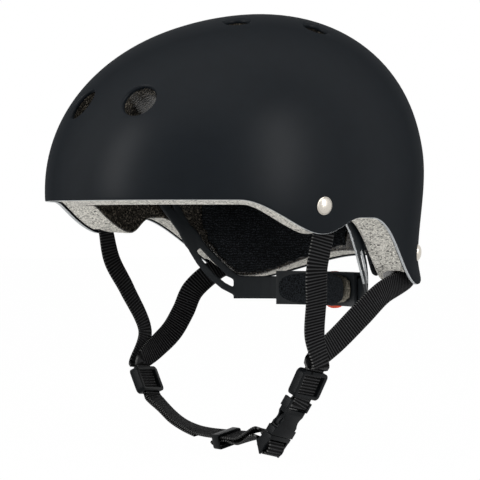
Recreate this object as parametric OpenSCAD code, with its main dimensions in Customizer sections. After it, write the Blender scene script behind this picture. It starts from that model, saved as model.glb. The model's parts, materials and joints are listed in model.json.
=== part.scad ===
// A hard-shell sport helmet: moulded shell, foam liner, comfort pads, webbing
// harness with a side-release buckle, and a dial-adjusted fit band.
// The front faces -Y, the wearer's left is +X, and Z = 0 is the front brim's level.

/* [Shell] */
// Half the width of the shell at its widest
shell_half_width = 106; // [100:1:110]
// Length of the shell in front of its widest line
shell_front = 130; // [124:1:134]
// Length of the shell behind its widest line
shell_rear = 127; // [124:1:132]
// Height of the crown above the widest line
shell_crown = 104; // [100:1:108]
// Wall of the shell
shell_wall = 2.5; // [2:0.1:3]
// How far the rear corners of the rim flare out
rim_flare = 1; // [0:0.5:4]

/* [Rim] */
// Height of the front brim's edge
brim_z = -1.5; // [-3:0.5:0]
// Height of the ear flap's lowest point
ear_z = -21; // [-24:1:-19]
// Height of the arch behind the ear
arch_z = -11.5; // [-14:0.5:-9]
// Height of the rear corners' lowest point
nape_z = -53; // [-55:1:-50]
// Height of the notch at the rear centre
notch_z = -36; // [-39:1:-33]

/* [Liner] */
// Thickness of the foam liner at the front and sides
liner_side = 21; // [19:1:22]
// Thickness of the foam liner at the back
liner_back = 25; // [23:1:26]
// How far the liner's inner edge hangs below the front brim
liner_drop = 2.5; // [2:0.5:5]
// How far the liner stops short of the shell's rear corners
liner_lift = 3; // [2:0.5:5]
// Gap between the shell and the liner
liner_gap = 0.3; // [0.2:0.1:0.5]

/* [Vents] */
// Bore of the two front and two rear vents
big_vent = 21; // [18:1:23]
// Bore of the four crown vents
small_vent = 15; // [12:1:17]
// How much wider a vent's rolled lip is than its bore
vent_lip = 3.5; // [2:0.5:5]

/* [Pads] */
// Thickness of a comfort pad at its crown
pad_thick = 7; // [5:0.5:8]
// Height of a side pad
side_pad_height = 36; // [32:1:38]
// Diameter of a hook-fastener dot
dot_dia = 14; // [12:1:18]
// Thickness of a hook-fastener dot
dot_thick = 1; // [0.6:0.1:1.4]

/* [Rivets] */
// Diameter of a rivet's domed cap
rivet_cap = 10; // [9:0.5:11]
// Height of a rivet's domed cap
rivet_dome = 2.4; // [1.8:0.1:3]
// Diameter of a rivet's shank
rivet_shank = 4; // [3.5:0.1:4.5]
// Diameter of the washer behind the webbing
washer_dia = 11; // [10:0.5:13]
// Thickness of the washer
washer_thick = 0.8; // [0.6:0.1:1.2]

/* [Webbing] */
// Width of the webbing
web_width = 15; // [14:0.5:15.5]
// Thickness of the webbing
web_thick = 1.4; // [1:0.1:1.5]

/* [Buckle] */
// Width of the buckle socket
socket_width = 20.6; // [20:0.2:22]
// Length of the buckle socket
socket_length = 24.6; // [24:0.2:26]
// Thickness of the buckle
buckle_thick = 6; // [5.8:0.1:7]
// Width of the slider frame
slider_width = 23.6; // [23:0.2:26]
// Height of the slider frame
slider_height = 17.2; // [16:0.2:19]
// Depth of the slider frame
slider_depth = 5.9; // [5.9:0.1:8]

/* [Fit band] */
// Height of the fit band
band_height = 15; // [13:0.5:16]
// Thickness of the fit band
band_thick = 1.6; // [1.4:0.1:1.8]
// Share of the liner's inner half width at which the fit band lies
band_share = 0.9367; // [0.92:0.001:0.945]
// Height of the rear cradle
cradle_height = 22; // [21:0.5:24]
// Half the angle that the rear cradle spans
cradle_angle = 28; // [26:1:29]
// Wall of the rear cradle's housing and cover
cradle_wall = 2; // [1.6:0.1:2.2]
// Thickness of the cradle's foam cushion
cushion_foam = 5.5; // [4:0.5:6]
// Diameter of the adjusting dial
dial_dia = 24.4; // [23:0.2:26]
// Thickness of the adjusting dial
dial_thick = 8; // [7:0.5:10]
// Pitch radius of the pinion
pinion_radius = 5; // [4.5:0.1:5.2]

/* [Hidden] */
eps = 0.01;
round_fn = 48;
cut_fn = 20;
fine_fn = 120;

// Radius to which the fit band and the cradle bend
band_radius = band_share * (shell_half_width - shell_wall - liner_gap - liner_side);
// The harness is drawn for a shell of this half width, and grows with it
drawn_half_width = 106;
harness_scale = shell_half_width / drawn_half_width;
// Shape of the dome
plan_power = 2.05;
side_power = 2.18;
dome_pitch = 15;
dome_back = 5;
dome_up = 10;
skirt_taper = 0.135;
skirt_reach = 85;
skirt_depth = 100;
flare_span = 13;
column_step = 6;
dome_rows = 13;

function ease(a, b, x) = let (u = max(0, min(1, (x - a) / (b - a)))) u * u * (3 - 2 * u);
function unit(v) = v / norm(v);
function wrap(phi) = abs(phi > 180 ? phi - 360 : phi);

// Height of the shell's rim at a plan angle measured from the front
function rim_z(phi) = let (p = wrap(phi))
    brim_z + (ear_z - brim_z) * ease(45, 69, p) + (arch_z - ear_z) * ease(70, 86, p)
    + (nape_z - arch_z) * ease(92, 128, p) + (notch_z - nape_z) * ease(129, 176, p);
function liner_depth(phi, t) = liner_side
    + (liner_back - liner_side) * ease(110, 165, wrap(phi)) * ease(30, 75, t);

// A point of the dome: plan angle, polar angle, and depth under the outer face
function plan_radius(phi, d) = let (b = (cos(phi) > 0 ? shell_front : shell_rear) - d)
    pow(pow(abs(sin(phi)) / (shell_half_width - d), plan_power) + pow(abs(cos(phi)) / b, plan_power),
        -1 / plan_power);
function dome_raw(phi, t, d) = let (
    f = pow(pow(sin(t), side_power) + pow(abs(cos(t)), side_power), -1 / side_power),
    depth = (t - 90) / 90 * skirt_depth,
    rho = t > 90 ? plan_radius(phi, d) * (1 - skirt_taper * ease(0, skirt_reach, depth))
        : plan_radius(phi, d) * sin(t) * f,
    w = t > 90 ? -depth : (shell_crown - d) * cos(t) * f)
    [rho * sin(phi), -rho * cos(phi), w];
function dome(phi, t, d) = let (p = dome_raw(phi, t, d))
    [p.x, p.y * cos(dome_pitch) - p.z * sin(dome_pitch) + dome_back,
        p.y * sin(dome_pitch) + p.z * cos(dome_pitch) + dome_up];
function dome_normal(phi, t) = let (
    a = dome(phi + 1, t, 0) - dome(phi - 1, t, 0),
    b = dome(phi, t + 1, 0) - dome(phi, t - 1, 0))
    unit(cross(b, a));
// Polar angle at which the dome reaches a height
function polar_at(phi, z, d, lo = 40, hi = 178, n = 18) = n == 0 ? (lo + hi) / 2
    : let (mid = (lo + hi) / 2)
    dome(phi, mid, d).z > z ? polar_at(phi, z, d, mid, hi, n - 1) : polar_at(phi, z, d, lo, mid, n - 1);
function rim_t(phi) = polar_at(phi, rim_z(phi), 0);
function flared(phi, t, d, t_flare) = let (
    k = rim_flare * ease(104, 130, wrap(phi)) * ease(t_flare - flare_span, t_flare, t))
    dome(phi, t, d) + k * [sin(phi), -cos(phi), 0];

// A closed skin between an outer and an inner grid of the dome
module dome_skin(outer_d, outer_z, inner_z, inner_d) {
    rows = dome_rows;
    columns = [0 : column_step : 360 - column_step];
    n = 360 / column_step;
    outer = [for (phi = columns) let (t_rim = polar_at(phi, outer_z(phi), outer_d), t_flare = rim_t(phi))
        for (j = [1 : rows]) flared(phi, t_rim * j / rows, outer_d, t_flare)];
    inner = [for (phi = columns)
        let (t_rim = polar_at(phi, inner_z(phi), inner_d(phi, 90)), t_flare = rim_t(phi))
        for (j = [1 : rows]) let (t = t_rim * j / rows) flared(phi, t, inner_d(phi, t), t_flare)];
    points = concat(outer, inner, [dome(0, 0, outer_d)], [dome(0, 0, inner_d(0, 0))]);
    m = n * rows;
    outer_top = 2 * m;
    faces = concat(
        [for (i = [0 : n - 1]) let (k = (i + 1) % n) [k * rows, i * rows, outer_top]],
        [for (i = [0 : n - 1]) let (k = (i + 1) % n) [m + i * rows, m + k * rows, outer_top + 1]],
        [for (i = [0 : n - 1], j = [0 : rows - 2]) let (k = (i + 1) % n, a = i * rows + j, b = k * rows + j)
            each [[a, b + 1, a + 1], [a, b, b + 1], [m + a, m + a + 1, m + b + 1],
            [m + a, m + b + 1, m + b]]],
        [for (i = [0 : n - 1]) let (k = (i + 1) % n, a = i * rows + rows - 1, b = k * rows + rows - 1)
            each [[a, m + b, m + a], [a, b, m + b]]]);
    polyhedron(points, faces, convexity = 8);
}

// Places its children on the dome, with +Z along the outward normal
module on_dome(phi, t, d = 0) {
    n = dome_normal(phi, t);
    translate(dome(phi, t, d)) rotate([0, acos(n.z), atan2(n.y, n.x)]) children();
}

// Vents, as plan angle, polar angle and bore; each is mirrored to the other side
vents = [[15.3, 46.5, big_vent], [88.5, 13.5, small_vent], [125.5, 34, small_vent], [163, 62, big_vent]];
module each_vent() {
    for (side = [-1, 1], v = vents) let ($bore = v[2]) on_dome(side * v[0], v[1]) children();
}

// Rivets, as plan angle and height
side_rivet_phi = 71;
side_rivet_z = -4.5;
rear_rivet_phi = 134;
rear_rivet_z = -33;
side_rivet_t = polar_at(side_rivet_phi, side_rivet_z, 0);
rear_rivet_t = polar_at(rear_rivet_phi, rear_rivet_z, 0);
web_gap = 1.2;
web_depth = shell_wall + web_gap + web_thick / 2;
washer_gap = 0.4;
washer_depth = web_depth + web_thick / 2 + washer_gap;
rivet_clearance = 0.15;
pocket_depth = washer_depth + washer_thick + 2.2;

module each_rivet_hole() {
    for (side = [-1, 1]) {
        on_dome(side * side_rivet_phi, side_rivet_t) children();
        on_dome(side * rear_rivet_phi, rear_rivet_t) children();
    }
}

module outer_shell() {
    color("#1c1e20") difference() {
        dome_skin(0, function (p) rim_z(p), function (p) rim_z(p), function (p, t) shell_wall);
        each_vent() hull() {
            translate([0, 0, 1]) cylinder(d = $bore + vent_lip, h = 8, $fn = cut_fn);
            translate([0, 0, -shell_wall - 1]) cylinder(d = $bore, h = 1, $fn = cut_fn);
        }
        each_rivet_hole() hull()
            translate([0, 0, -2 * shell_wall]) cylinder(d = rivet_shank + 2 * rivet_clearance,
                h = 4 * shell_wall, $fn = cut_fn);
    }
}

// Foam liner with the vent channels and a pocket for each webbing end
liner_outer = shell_wall + liner_gap;
function liner_inner(phi, t = 90) = liner_outer + liner_depth(phi, t);
function liner_rim(phi) = let (p = wrap(phi))
    rim_z(p) - liner_drop * (1 - ease(52, 66, p)) + liner_lift * ease(100, 130, p);
liner_tuck = 1.2;
module eps_liner() {
    color("#c9c9c4") difference() {
        dome_skin(liner_outer, function (p) rim_z(p) + liner_tuck, function (p) liner_rim(p),
            function (p, t) liner_inner(p, t));
        each_vent() hull()
            translate([0, 0, -liner_back - 16]) cylinder(d = $bore, h = liner_back + 20, $fn = cut_fn);
        for (side = [-1, 1]) {
            strap_pocket(side, side_rivet_phi, side_rivet_t, [[0, -13], [0, 10], [0, 16]],
                side > 0 ? left_front_free[0][0] : right_front_free[0][0]);
            strap_pocket(side, rear_rivet_phi, rear_rivet_t,
                side > 0 ? [[9, -13], [0, 0], [-4, 13]] : [[9, -6], [0, 0], [-16, 5]],
                side > 0 ? left_rear_free[2][0] : right_rear_free[0][0]);
            for (q = anchor_places) on_band(side * q[0], q[1]) hull()
                cylinder(d = anchor_stem + 0.6, h = anchor_reach, $fn = cut_fn);
        }
        each_dot() hull() translate([0, 0, -3])
            cylinder(d = dot_dia + 0.6, h = dot_recess + dot_thick + 3.2, $fn = cut_fn);
    }
}
pocket_clear = 3;
module strap_pocket(side, phi, t, steps, exit) {
    module disc(k) {
        on_dome(side * (phi + k.x), t + k.y) translate([0, 0, -pocket_depth])
            cylinder(d = web_width + 2 * pocket_clear, h = pocket_depth + 4, $fn = cut_fn);
    }
    for (i = [0 : len(steps) - 2]) hull() {
        disc(steps[i]);
        disc(steps[i + 1]);
    }
    hull() {
        disc(steps[len(steps) - 1]);
        translate(exit) sphere(d = web_width + 2 * pocket_clear, $fn = cut_fn);
    }
}

// Cushions on the liner's inner face
pad_gap = 0.80;
pad_rings = 4;
pad_sectors = 26;
pad_squareness = 5;
function pad_edge(a) = pow(pow(abs(cos(a)), pad_squareness) + pow(abs(sin(a)), pad_squareness),
    -1 / pad_squareness);
function pad_swell(r) = 0.22 + 0.78 * sqrt(max(0, 1 - pow(r, 4)));
module cushion(phi_0, phi_1, low, z_high, thick) {
    radii = [for (k = [1 : pad_rings]) sin(90 * k / pad_rings)];
    function spot(r, a, lift) = let (
        u = r * cos(a) * pad_edge(a),
        v = r * sin(a) * pad_edge(a),
        phi = (phi_0 + phi_1) / 2 + u * (phi_1 - phi_0) / 2,
        z_low = low(phi),
        z = (z_low + z_high) / 2 + v * (z_high - z_low) / 2,
        d = liner_inner(phi) + pad_gap + lift)
        dome(phi, polar_at(phi, z, d, 10), d);
    front = [for (r = radii) for (i = [0 : pad_sectors - 1])
        spot(r, -i * 360 / pad_sectors, thick * pad_swell(r))];
    back = [for (r = radii) for (i = [0 : pad_sectors - 1]) spot(r, -i * 360 / pad_sectors, 0)];
    cushion_solid(concat(front, back, [spot(0, 0, thick), spot(0, 0, 0)]));
}
module cushion_solid(points) {
    n = pad_sectors;
    m = n * pad_rings;
    faces = concat(
        [for (i = [0 : n - 1]) let (k = (i + 1) % n) each [[k, i, 2 * m], [m + i, m + k, 2 * m + 1]]],
        [for (j = [0 : pad_rings - 2], i = [0 : n - 1]) let (k = (i + 1) % n, a = j * n, b = a + n) each [
            [a + i, a + k, b + k], [a + i, b + k, b + i],
            [m + a + i, m + b + k, m + a + k], [m + a + i, m + b + i, m + b + k]]],
        [for (i = [0 : n - 1]) let (k = (i + 1) % n, b = m - n) each [
            [b + i, b + k, m + b + k], [b + i, m + b + k, m + b + i]]]);
    polyhedron(points, faces, convexity = 4);
}

pad_colour = "#1b1c1e";
front_pad_span = 34;
front_pad_low = 6;
front_pad_high = 34;
side_pad_low = -2;
rear_pad_rise = -1;
rear_pad_high = 6;
module front_pad() {
    color(pad_colour) cushion(-front_pad_span, front_pad_span, function (p) front_pad_low, front_pad_high,
        pad_thick);
}
module left_side_pad() {
    color(pad_colour) cushion(42, 76, function (p) side_pad_low, side_pad_low + side_pad_height,
        pad_thick);
}
module right_side_pad() {
    color(pad_colour) cushion(-76, -42, function (p) side_pad_low, side_pad_low + side_pad_height,
        pad_thick);
}
module left_rear_pad() {
    color(pad_colour) cushion(112, 173, function (p) liner_rim(p) + rear_pad_rise, rear_pad_high,
        pad_thick);
}
module right_rear_pad() {
    color(pad_colour) cushion(-183, -112, function (p) liner_rim(p) + rear_pad_rise, rear_pad_high,
        pad_thick);
}
// The crown pad lies between the crown vents
crown_half_width = 13;
crown_half_length = 38;
module crown_pad() {
    function spot(r, a, lift) = let (
        x = crown_half_width * r * cos(a) * pad_edge(a),
        y = crown_half_length * r * sin(a) * pad_edge(a),
        phi = atan2(x, -y),
        d = liner_inner(0, 0) + pad_gap + lift)
        dome(phi, asin(norm([x, y]) / plan_radius(phi, d)), d);
    radii = [for (k = [1 : pad_rings]) sin(90 * k / pad_rings)];
    front = [for (r = radii) for (i = [0 : pad_sectors - 1])
        spot(r, -i * 360 / pad_sectors, pad_thick * pad_swell(r))];
    back = [for (r = radii) for (i = [0 : pad_sectors - 1]) spot(r, -i * 360 / pad_sectors, 0)];
    color(pad_colour) cushion_solid(concat(front, back, [spot(0, 0, pad_thick), spot(0, 0, 0)]));
}

// Hook-fastener dots pressed into the liner behind each pad: plan angle and height
dot_places = [[-20, 20], [20, 20], [-50, 18], [-68, 18], [50, 18], [68, 18],
    [-130, -18], [-156, -18], [130, -18], [156, -18]];
dot_recess = 0.2;
module each_dot() {
    for (p = dot_places) let (d = liner_inner(p[0])) on_dome(p[0], polar_at(p[0], p[1], d, 10), d) children();
}
module hook_dots() {
    color("#0f0f10") each_dot() translate([0, 0, dot_recess])
        cylinder(d = dot_dia, h = dot_thick, $fn = round_fn);
}

// Rivets through the shell, the webbing and a washer
module rivet(phi, t) {
    sphere_r = (pow(rivet_cap / 2, 2) + pow(rivet_dome, 2)) / (2 * rivet_dome);
    head_seat = 0.3;
    color("#c8c8c6") on_dome(phi, t) {
        intersection() {
            translate([0, 0, head_seat + rivet_dome - sphere_r]) sphere(r = sphere_r, $fn = round_fn);
            translate([0, 0, head_seat]) cylinder(d = rivet_cap, h = rivet_dome + 1, $fn = round_fn);
        }
        translate([0, 0, -washer_depth - washer_thick - 1])
            cylinder(d = rivet_shank, h = washer_depth + washer_thick + 1 + head_seat + eps, $fn = round_fn);
        translate([0, 0, -washer_depth - washer_thick - 1.1])
            cylinder(d = rivet_shank + 2.4, h = 1, $fn = round_fn);
    }
}
module left_side_rivet() {
    rivet(side_rivet_phi, side_rivet_t);
}
module right_side_rivet() {
    rivet(-side_rivet_phi, side_rivet_t);
}
module left_rear_rivet() {
    rivet(rear_rivet_phi, rear_rivet_t);
}
module right_rear_rivet() {
    rivet(-rear_rivet_phi, rear_rivet_t);
}
module rivet_washers() {
    color("#9a9a98") each_rivet_hole() translate([0, 0, -washer_depth - washer_thick]) difference() {
        cylinder(d = washer_dia, h = washer_thick, $fn = round_fn);
        translate([0, 0, -1]) cylinder(d = rivet_shank + 2 * rivet_clearance, h = washer_thick + 2,
            $fn = round_fn);
    }
}

// Frames of the hardware that hangs on the webbing: +X outward, +Y rearward, +Z up the webbing
left_frame_at = harness_scale * [76, -13.4, -110.2];
left_lean = 22;
left_twist = -11;
right_frame_at = harness_scale * [-76, -3.8, -116.3];
right_lean = -26;
right_twist = -4;
right_yaw = 15;
function frame_dir(lean, twist, yaw, p) = let (
    y = p.y * cos(twist) - p.z * sin(twist),
    z = p.y * sin(twist) + p.z * cos(twist),
    x = p.x * cos(lean) + z * sin(lean))
    [x * cos(yaw) - y * sin(yaw), x * sin(yaw) + y * cos(yaw), -p.x * sin(lean) + z * cos(lean)];
function left_point(p) = left_frame_at + frame_dir(left_lean, left_twist, 0, p);
function right_point(p) = right_frame_at + frame_dir(right_lean, right_twist, right_yaw, [-p.x, p.y, p.z]);
function left_along() = frame_dir(left_lean, left_twist, 0, [0, 1, 0]);
function right_along() = frame_dir(right_lean, right_twist, right_yaw, [0, 1, 0]);
buckle_at = harness_scale * [71.3, -16.3, -119.6];
buckle_lean = 27;
buckle_twist = -14;
function buckle_point(p) = buckle_at + frame_dir(buckle_lean, buckle_twist, 0, p);
function buckle_along() = frame_dir(buckle_lean, buckle_twist, 0, [0, 1, 0]);
module on_buckle() {
    translate(buckle_at) rotate([0, buckle_lean, 0]) rotate([buckle_twist, 0, 0]) children();
}
module on_left() {
    translate(left_frame_at) rotate([0, left_lean, 0]) rotate([left_twist, 0, 0]) children();
}
module on_right() {
    translate(right_frame_at) rotate([0, 0, right_yaw]) rotate([0, right_lean, 0]) rotate([right_twist, 0, 0])
        mirror([1, 0, 0]) children();
}

// Webbing: a flat strip swept along points, each given with the strip's width direction
function smooth_at(a, b, c, d, u) = 0.5 * (2 * b + (c - a) * u + (2 * a - 5 * b + 4 * c - d) * u * u
    + (3 * b - a - 3 * c + d) * u * u * u);
function smooth_list(list, steps) = let (n = len(list)) concat([for (i = [0 : n - 2], k = [0 : steps - 1])
    smooth_at(list[max(0, i - 1)], list[i], list[i + 1], list[min(n - 1, i + 2)], k / steps)],
    [list[n - 1]]);
module webbing(stations, rivets, steps = 2) {
    p = smooth_list([for (s = stations) s[0]], steps);
    w_in = smooth_list([for (s = stations) unit(s[1])], steps);
    n = len(p);
    along = [for (i = [0 : n - 1]) unit(p[min(n - 1, i + 1)] - p[max(0, i - 1)])];
    across = [for (i = [0 : n - 1]) unit(w_in[i] - (w_in[i] * along[i]) * along[i])];
    up = [for (i = [0 : n - 1]) cross(along[i], across[i])];
    points = [for (i = [0 : n - 1], c = [[-1, -1], [1, -1], [1, 1], [-1, 1]])
        p[i] + across[i] * c.x * web_width / 2 + up[i] * c.y * web_thick / 2];
    faces = concat(
        [[0, 1, 2], [0, 2, 3]],
        [for (i = [0 : n - 2], k = [0 : 3]) let (a = 4 * i + k, b = 4 * i + (k + 1) % 4) each [
            [a, a + 4, b + 4], [a, b + 4, b]]],
        [let (e = 4 * n - 4) [e, e + 2, e + 1], let (e = 4 * n - 4) [e, e + 3, e + 2]]);
    difference() {
        polyhedron(points, faces, convexity = 6);
        for (q = rivets) on_dome(q[0], q[1]) translate([0, 0, -web_depth - 3])
            cylinder(d = rivet_shank + 2 * rivet_clearance, h = 6, $fn = round_fn);
    }
}

layer = web_thick / 2 + 0.32;
bar_r = 1.2;
turn_r = bar_r + 0.35 + web_thick / 2;
sleeve_top = slider_height / 2;
// The webbing's run through a sleeve: height, and how far the two layers part above it
sleeve_run = [[sleeve_top + 5, 2.1], [sleeve_top + 2.2, 0.35], [sleeve_top, 0], [sleeve_top - 5, 0],
    [-sleeve_top - 0.3, 0]];
socket_bar_z = -3.4;
function hung(stations) = [for (q = stations) [harness_scale * q[0], q[1]]];
// A station on the dome: the strip lies flat under the shell
function dome_station(side, phi, t, step) = let (
    p = dome(side * phi, t, web_depth),
    q = dome(side * (phi + step.x), t + step.y, web_depth))
    [p, side * cross(dome_normal(side * phi, t), q - p)];
function side_stations(side) = [for (t = [-9, 0, 7, 14])
    dome_station(side, side_rivet_phi, side_rivet_t + t, [0, 1])];
function rear_stations(side, steps) = [for (k = steps)
    dome_station(side, rear_rivet_phi + k.x, rear_rivet_t + k.y, [-1, 1])];
left_rear_steps = [[5, -6], [0, 0], [-1, 7], [-4, 12]];
right_rear_steps = [[6, -3], [0, 0], [-8, 3], [-16, 5]];
function reversed(list) = [for (i = [len(list) - 1 : -1 : 0]) list[i]];

// One webbing from the side rivet, round the socket's bar and back to the rear rivet
left_front_free = hung([[[94.5, -25.6, -40.8], [0.24, 0.97, 0]], [[90, -21.3, -59.7], [0.18, 0.98, 0]],
    [[83.6, -15.8, -81], [0.14, 0.985, -0.06]]]);
left_rear_free = hung([[[78, 10.9, -84], [0.25, 0.62, -0.74]], [[78.5, 32.2, -69.6], [0.35, 0.5, -0.78]],
    [[77.5, 54.2, -56.7], [0.1, 0.5, -0.8]]]);
module left_strap() {
    y = left_along();
    turn = [for (a = [0 : 45 : 180])
        [buckle_point([turn_r * cos(a), 0, socket_bar_z - turn_r * sin(a)]), buckle_along()]];
    color("#151617") webbing(concat(
        side_stations(1), left_front_free,
        [for (r = sleeve_run) [left_point([layer + r[1], 0, r[0]]), y]],
        turn,
        [for (r = reversed(sleeve_run)) [left_point([-layer - r[1], 0, r[0]]), y]],
        left_rear_free, reversed(rear_stations(1, left_rear_steps))),
        [[side_rivet_phi, side_rivet_t], [rear_rivet_phi, rear_rivet_t]]);
}

// Right webbing: the front strap runs on under the chin, the rear strap is sewn onto it
right_front_free = hung([[[-94, -17.9, -38.4], [-0.05, 0.99, 0]], [[-91, -7.1, -58.1], [-0.12, 0.99, 0]],
    [[-86.5, 4.3, -84.5], [-0.24, 0.97, 0]]]);
right_rear_free = hung([[[-86.5, 48.4, -58.6], [0.6, 0.6, -0.5]], [[-86, 38.4, -73], [0.57, 0.63, -0.48]],
    [[-84.5, 26.8, -85.5], [0.45, 0.72, -0.5]], [[-82.4, 12, -94.8], [0.08, 0.95, -0.3]]]);
chin_route = hung([[[-67.6, -3.5, -127.8], [0, 0.99, -0.13]], [[-55.2, -5, -134.2], [0, 0.97, -0.22]],
    [[-43.3, -6.6, -139.6], [0, 0.99, -0.12]], [[-29.9, -8.5, -143], [0, 1, 0]],
    [[-16.8, -10.4, -144.8], [0, 0.985, 0.15]], [[-3.3, -12.2, -145.2], [0, 0.975, 0.22]],
    [[12.9, -14.3, -144.8], [0, 0.975, 0.22]], [[26, -16, -144], [0, 0.975, 0.22]]]);
stack = web_thick + 0.4;
// The chin route moved outward, square to its own face
function chin_layer(k, n) = let (
    i = max(0, k - 1),
    j = min(len(chin_route) - 1, k + 1))
    [chin_route[k][0] - n * stack * unit(cross(chin_route[j][0] - chin_route[i][0], chin_route[k][1])),
        chin_route[k][1]];
module right_front_strap() {
    y = right_along();
    color("#151617") webbing(concat(
        side_stations(-1), right_front_free,
        [for (r = sleeve_run) [right_point([layer + r[1], 0, r[0]]), y]],
        [for (k = [0 : 4]) chin_layer(k, 1)]), [[-side_rivet_phi, side_rivet_t]]);
}
module right_rear_strap() {
    y = right_along();
    color("#151617") webbing(concat(
        rear_stations(-1, right_rear_steps), right_rear_free,
        [for (r = sleeve_run) [right_point([-layer - r[1], 0, r[0]]), y]],
        chin_route,
        [for (q = lock_route) [buckle_point([q.x, 0, q.y]), buckle_along()]],
        [[chin_layer(7, 2)[0], chin_layer(7, 2)[1]], chin_layer(6, 1)],
        [for (q = fold) [q, chin_route[6][1]]]), [[-rear_rivet_phi, rear_rivet_t]]);
}

// Slider: a flat sleeve with a window in each face, round both layers of webbing
slider_wall = 0.95;
slider_window = [18, 12.4];
module slider() {
    inner_w = web_width + 1.4;
    color("#17181a") difference() {
        rotate([0, 90, 0]) translate([0, 0, -slider_depth / 2]) linear_extrude(slider_depth)
            rounded_rectangle(slider_height, slider_width, 3);
        translate([-slider_depth / 2 + slider_wall, -inner_w / 2, -slider_height])
            cube([slider_depth - 2 * slider_wall, inner_w, 2 * slider_height]);
        translate([-slider_depth, -slider_window.x / 2, -slider_window.y / 2])
            cube([2 * slider_depth, slider_window.x, slider_window.y]);
    }
}
module rounded_rectangle(a, b, r) {
    union() {
        square([a - 2 * r, b], center = true);
        square([a, b - 2 * r], center = true);
        for (x = [-1, 1], y = [-1, 1]) translate([x * (a / 2 - r), y * (b / 2 - r)]) circle(r, $fn = cut_fn);
    }
}
module left_slider() {
    on_left() slider();
}
module right_slider() {
    on_right() slider();
}

// Side-release buckle, drawn in its own frame from the socket's top down
socket_top = 0;
socket_bottom = -socket_length;
socket_wall = 1.3;
socket_waist = 1.6;
scoop_depth = 3;
scoop_r = 5;
scoop_y = socket_width / 2 - scoop_depth + scoop_r;
web_slot = web_width + 1.4;
turn_clear = 0.4;
slot_low = socket_bar_z - turn_r - web_thick / 2 - turn_clear;
cavity_end = 7.4;
prong_y = 4.6;
prong_width = 3.4;
prong_clear = 0.3;
prong_length = 15;
barb = 1.8;
root_gap = 0.4;
window_low = socket_bottom + 6;
window_high = window_low + 2 * scoop_r;
cavity_depth = buckle_thick - 2 * socket_wall;
mouth_width = 2 * (prong_y + prong_width / 2 + prong_clear);
module slab(x, y, z_0, z_1) {
    translate([-x / 2, -y / 2, z_0]) cube([x, y, z_1 - z_0]);
}
module cross_bar(x, z, r, length) {
    translate([x, 0, z]) rotate([90, 0, 0]) cylinder(r = r, h = length, center = true, $fn = round_fn);
}
module buckle_socket() {
    color("#17181a") on_buckle() {
        difference() {
            union() {
                slab(buckle_thick, socket_width - 2 * socket_waist, socket_bottom, socket_top);
                slab(buckle_thick, socket_width, socket_top - 6.4, socket_top);
                slab(buckle_thick, socket_width, socket_bottom, socket_bottom + 5);
            }
            slab(cavity_depth, mouth_width, socket_bottom - 1, socket_top - cavity_end);
            for (side = [-1, 1]) {
                translate([0, side * scoop_y, (window_low + window_high) / 2]) rotate([0, 90, 0])
                    cylinder(r = scoop_r, h = 2 * buckle_thick, center = true, $fn = round_fn);
                translate([0, side * socket_width / 2, 0])
                    slab(cavity_depth, 9.6, window_low, window_high - 1);
            }
            slab(2 * buckle_thick, web_slot, slot_low, socket_top + 1);
        }
        cross_bar(0, socket_bar_z, bar_r, web_slot + 1);
    }
}

// Plug: a base, two cheeks and two bars that lock the webbing
plug_top = socket_bottom - 0.5;
plug_base = 2.6;
plug_x = 5.2;
cheek = 1.7;
lock_bars = [[-3.4, plug_top - 6.4], [0.8, plug_top - 9.4]];
cheek_profile = [[plug_x / 2, plug_top], [-plug_x / 2, plug_top], [-5.4, plug_top - 8],
    [1.4, plug_top - 13.6]];
lock_route = [[-12, plug_top - 3.2], [-5, plug_top - 3.9], [0, plug_top - 4.2], [3, plug_top - 6.2],
    [3.6, plug_top - 9.6], [2, plug_top - 12.2], [-1, plug_top - 12.4], [-5, plug_top - 9.8],
    [-10, plug_top - 7.6]];
module buckle_plug() {
    color("#191a1c") on_buckle() {
        slab(plug_x, web_slot + 2 * cheek, plug_top - plug_base, plug_top);
        slab(cavity_depth - 0.8, 2.4, plug_top - 1, plug_top + 5);
        for (side = [-1, 1]) translate([0, side * (web_slot + cheek) / 2 + cheek / 2, 0])
            rotate([90, 0, 0]) linear_extrude(cheek) polygon(cheek_profile);
        for (q = lock_bars) cross_bar(q.x, q.y, bar_r, web_slot + 1);
    }
}

// One prong: it springs about its root, and its barb rests in the socket's side window
prong_root = plug_top + root_gap + prong_width / 2;
module prong(side) {
    outline = [[-prong_width / 2, 0], [prong_width / 2, 0], [prong_width / 2, window_low + 0.5 - prong_root],
        [prong_width / 2 + barb, window_low + 0.5 - prong_root],
        [prong_width / 2 + barb, window_low + 3 - prong_root],
        [prong_width / 2 - 0.6, prong_length - prong_width / 2],
        [-prong_width / 2, prong_length - prong_width / 2]];
    color("#191a1c") on_buckle() translate([0, side * prong_y, prong_root]) rotate([90, 0, 90])
        translate([0, 0, -(cavity_depth - 0.8) / 2]) {
            linear_extrude(cavity_depth - 0.8) polygon([for (q = outline) [side * q.x, q.y]]);
            cylinder(d = prong_width, h = cavity_depth - 0.8, $fn = round_fn);
        }
}
module front_prong() {
    prong(-1);
}
module rear_prong() {
    prong(1);
}

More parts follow.
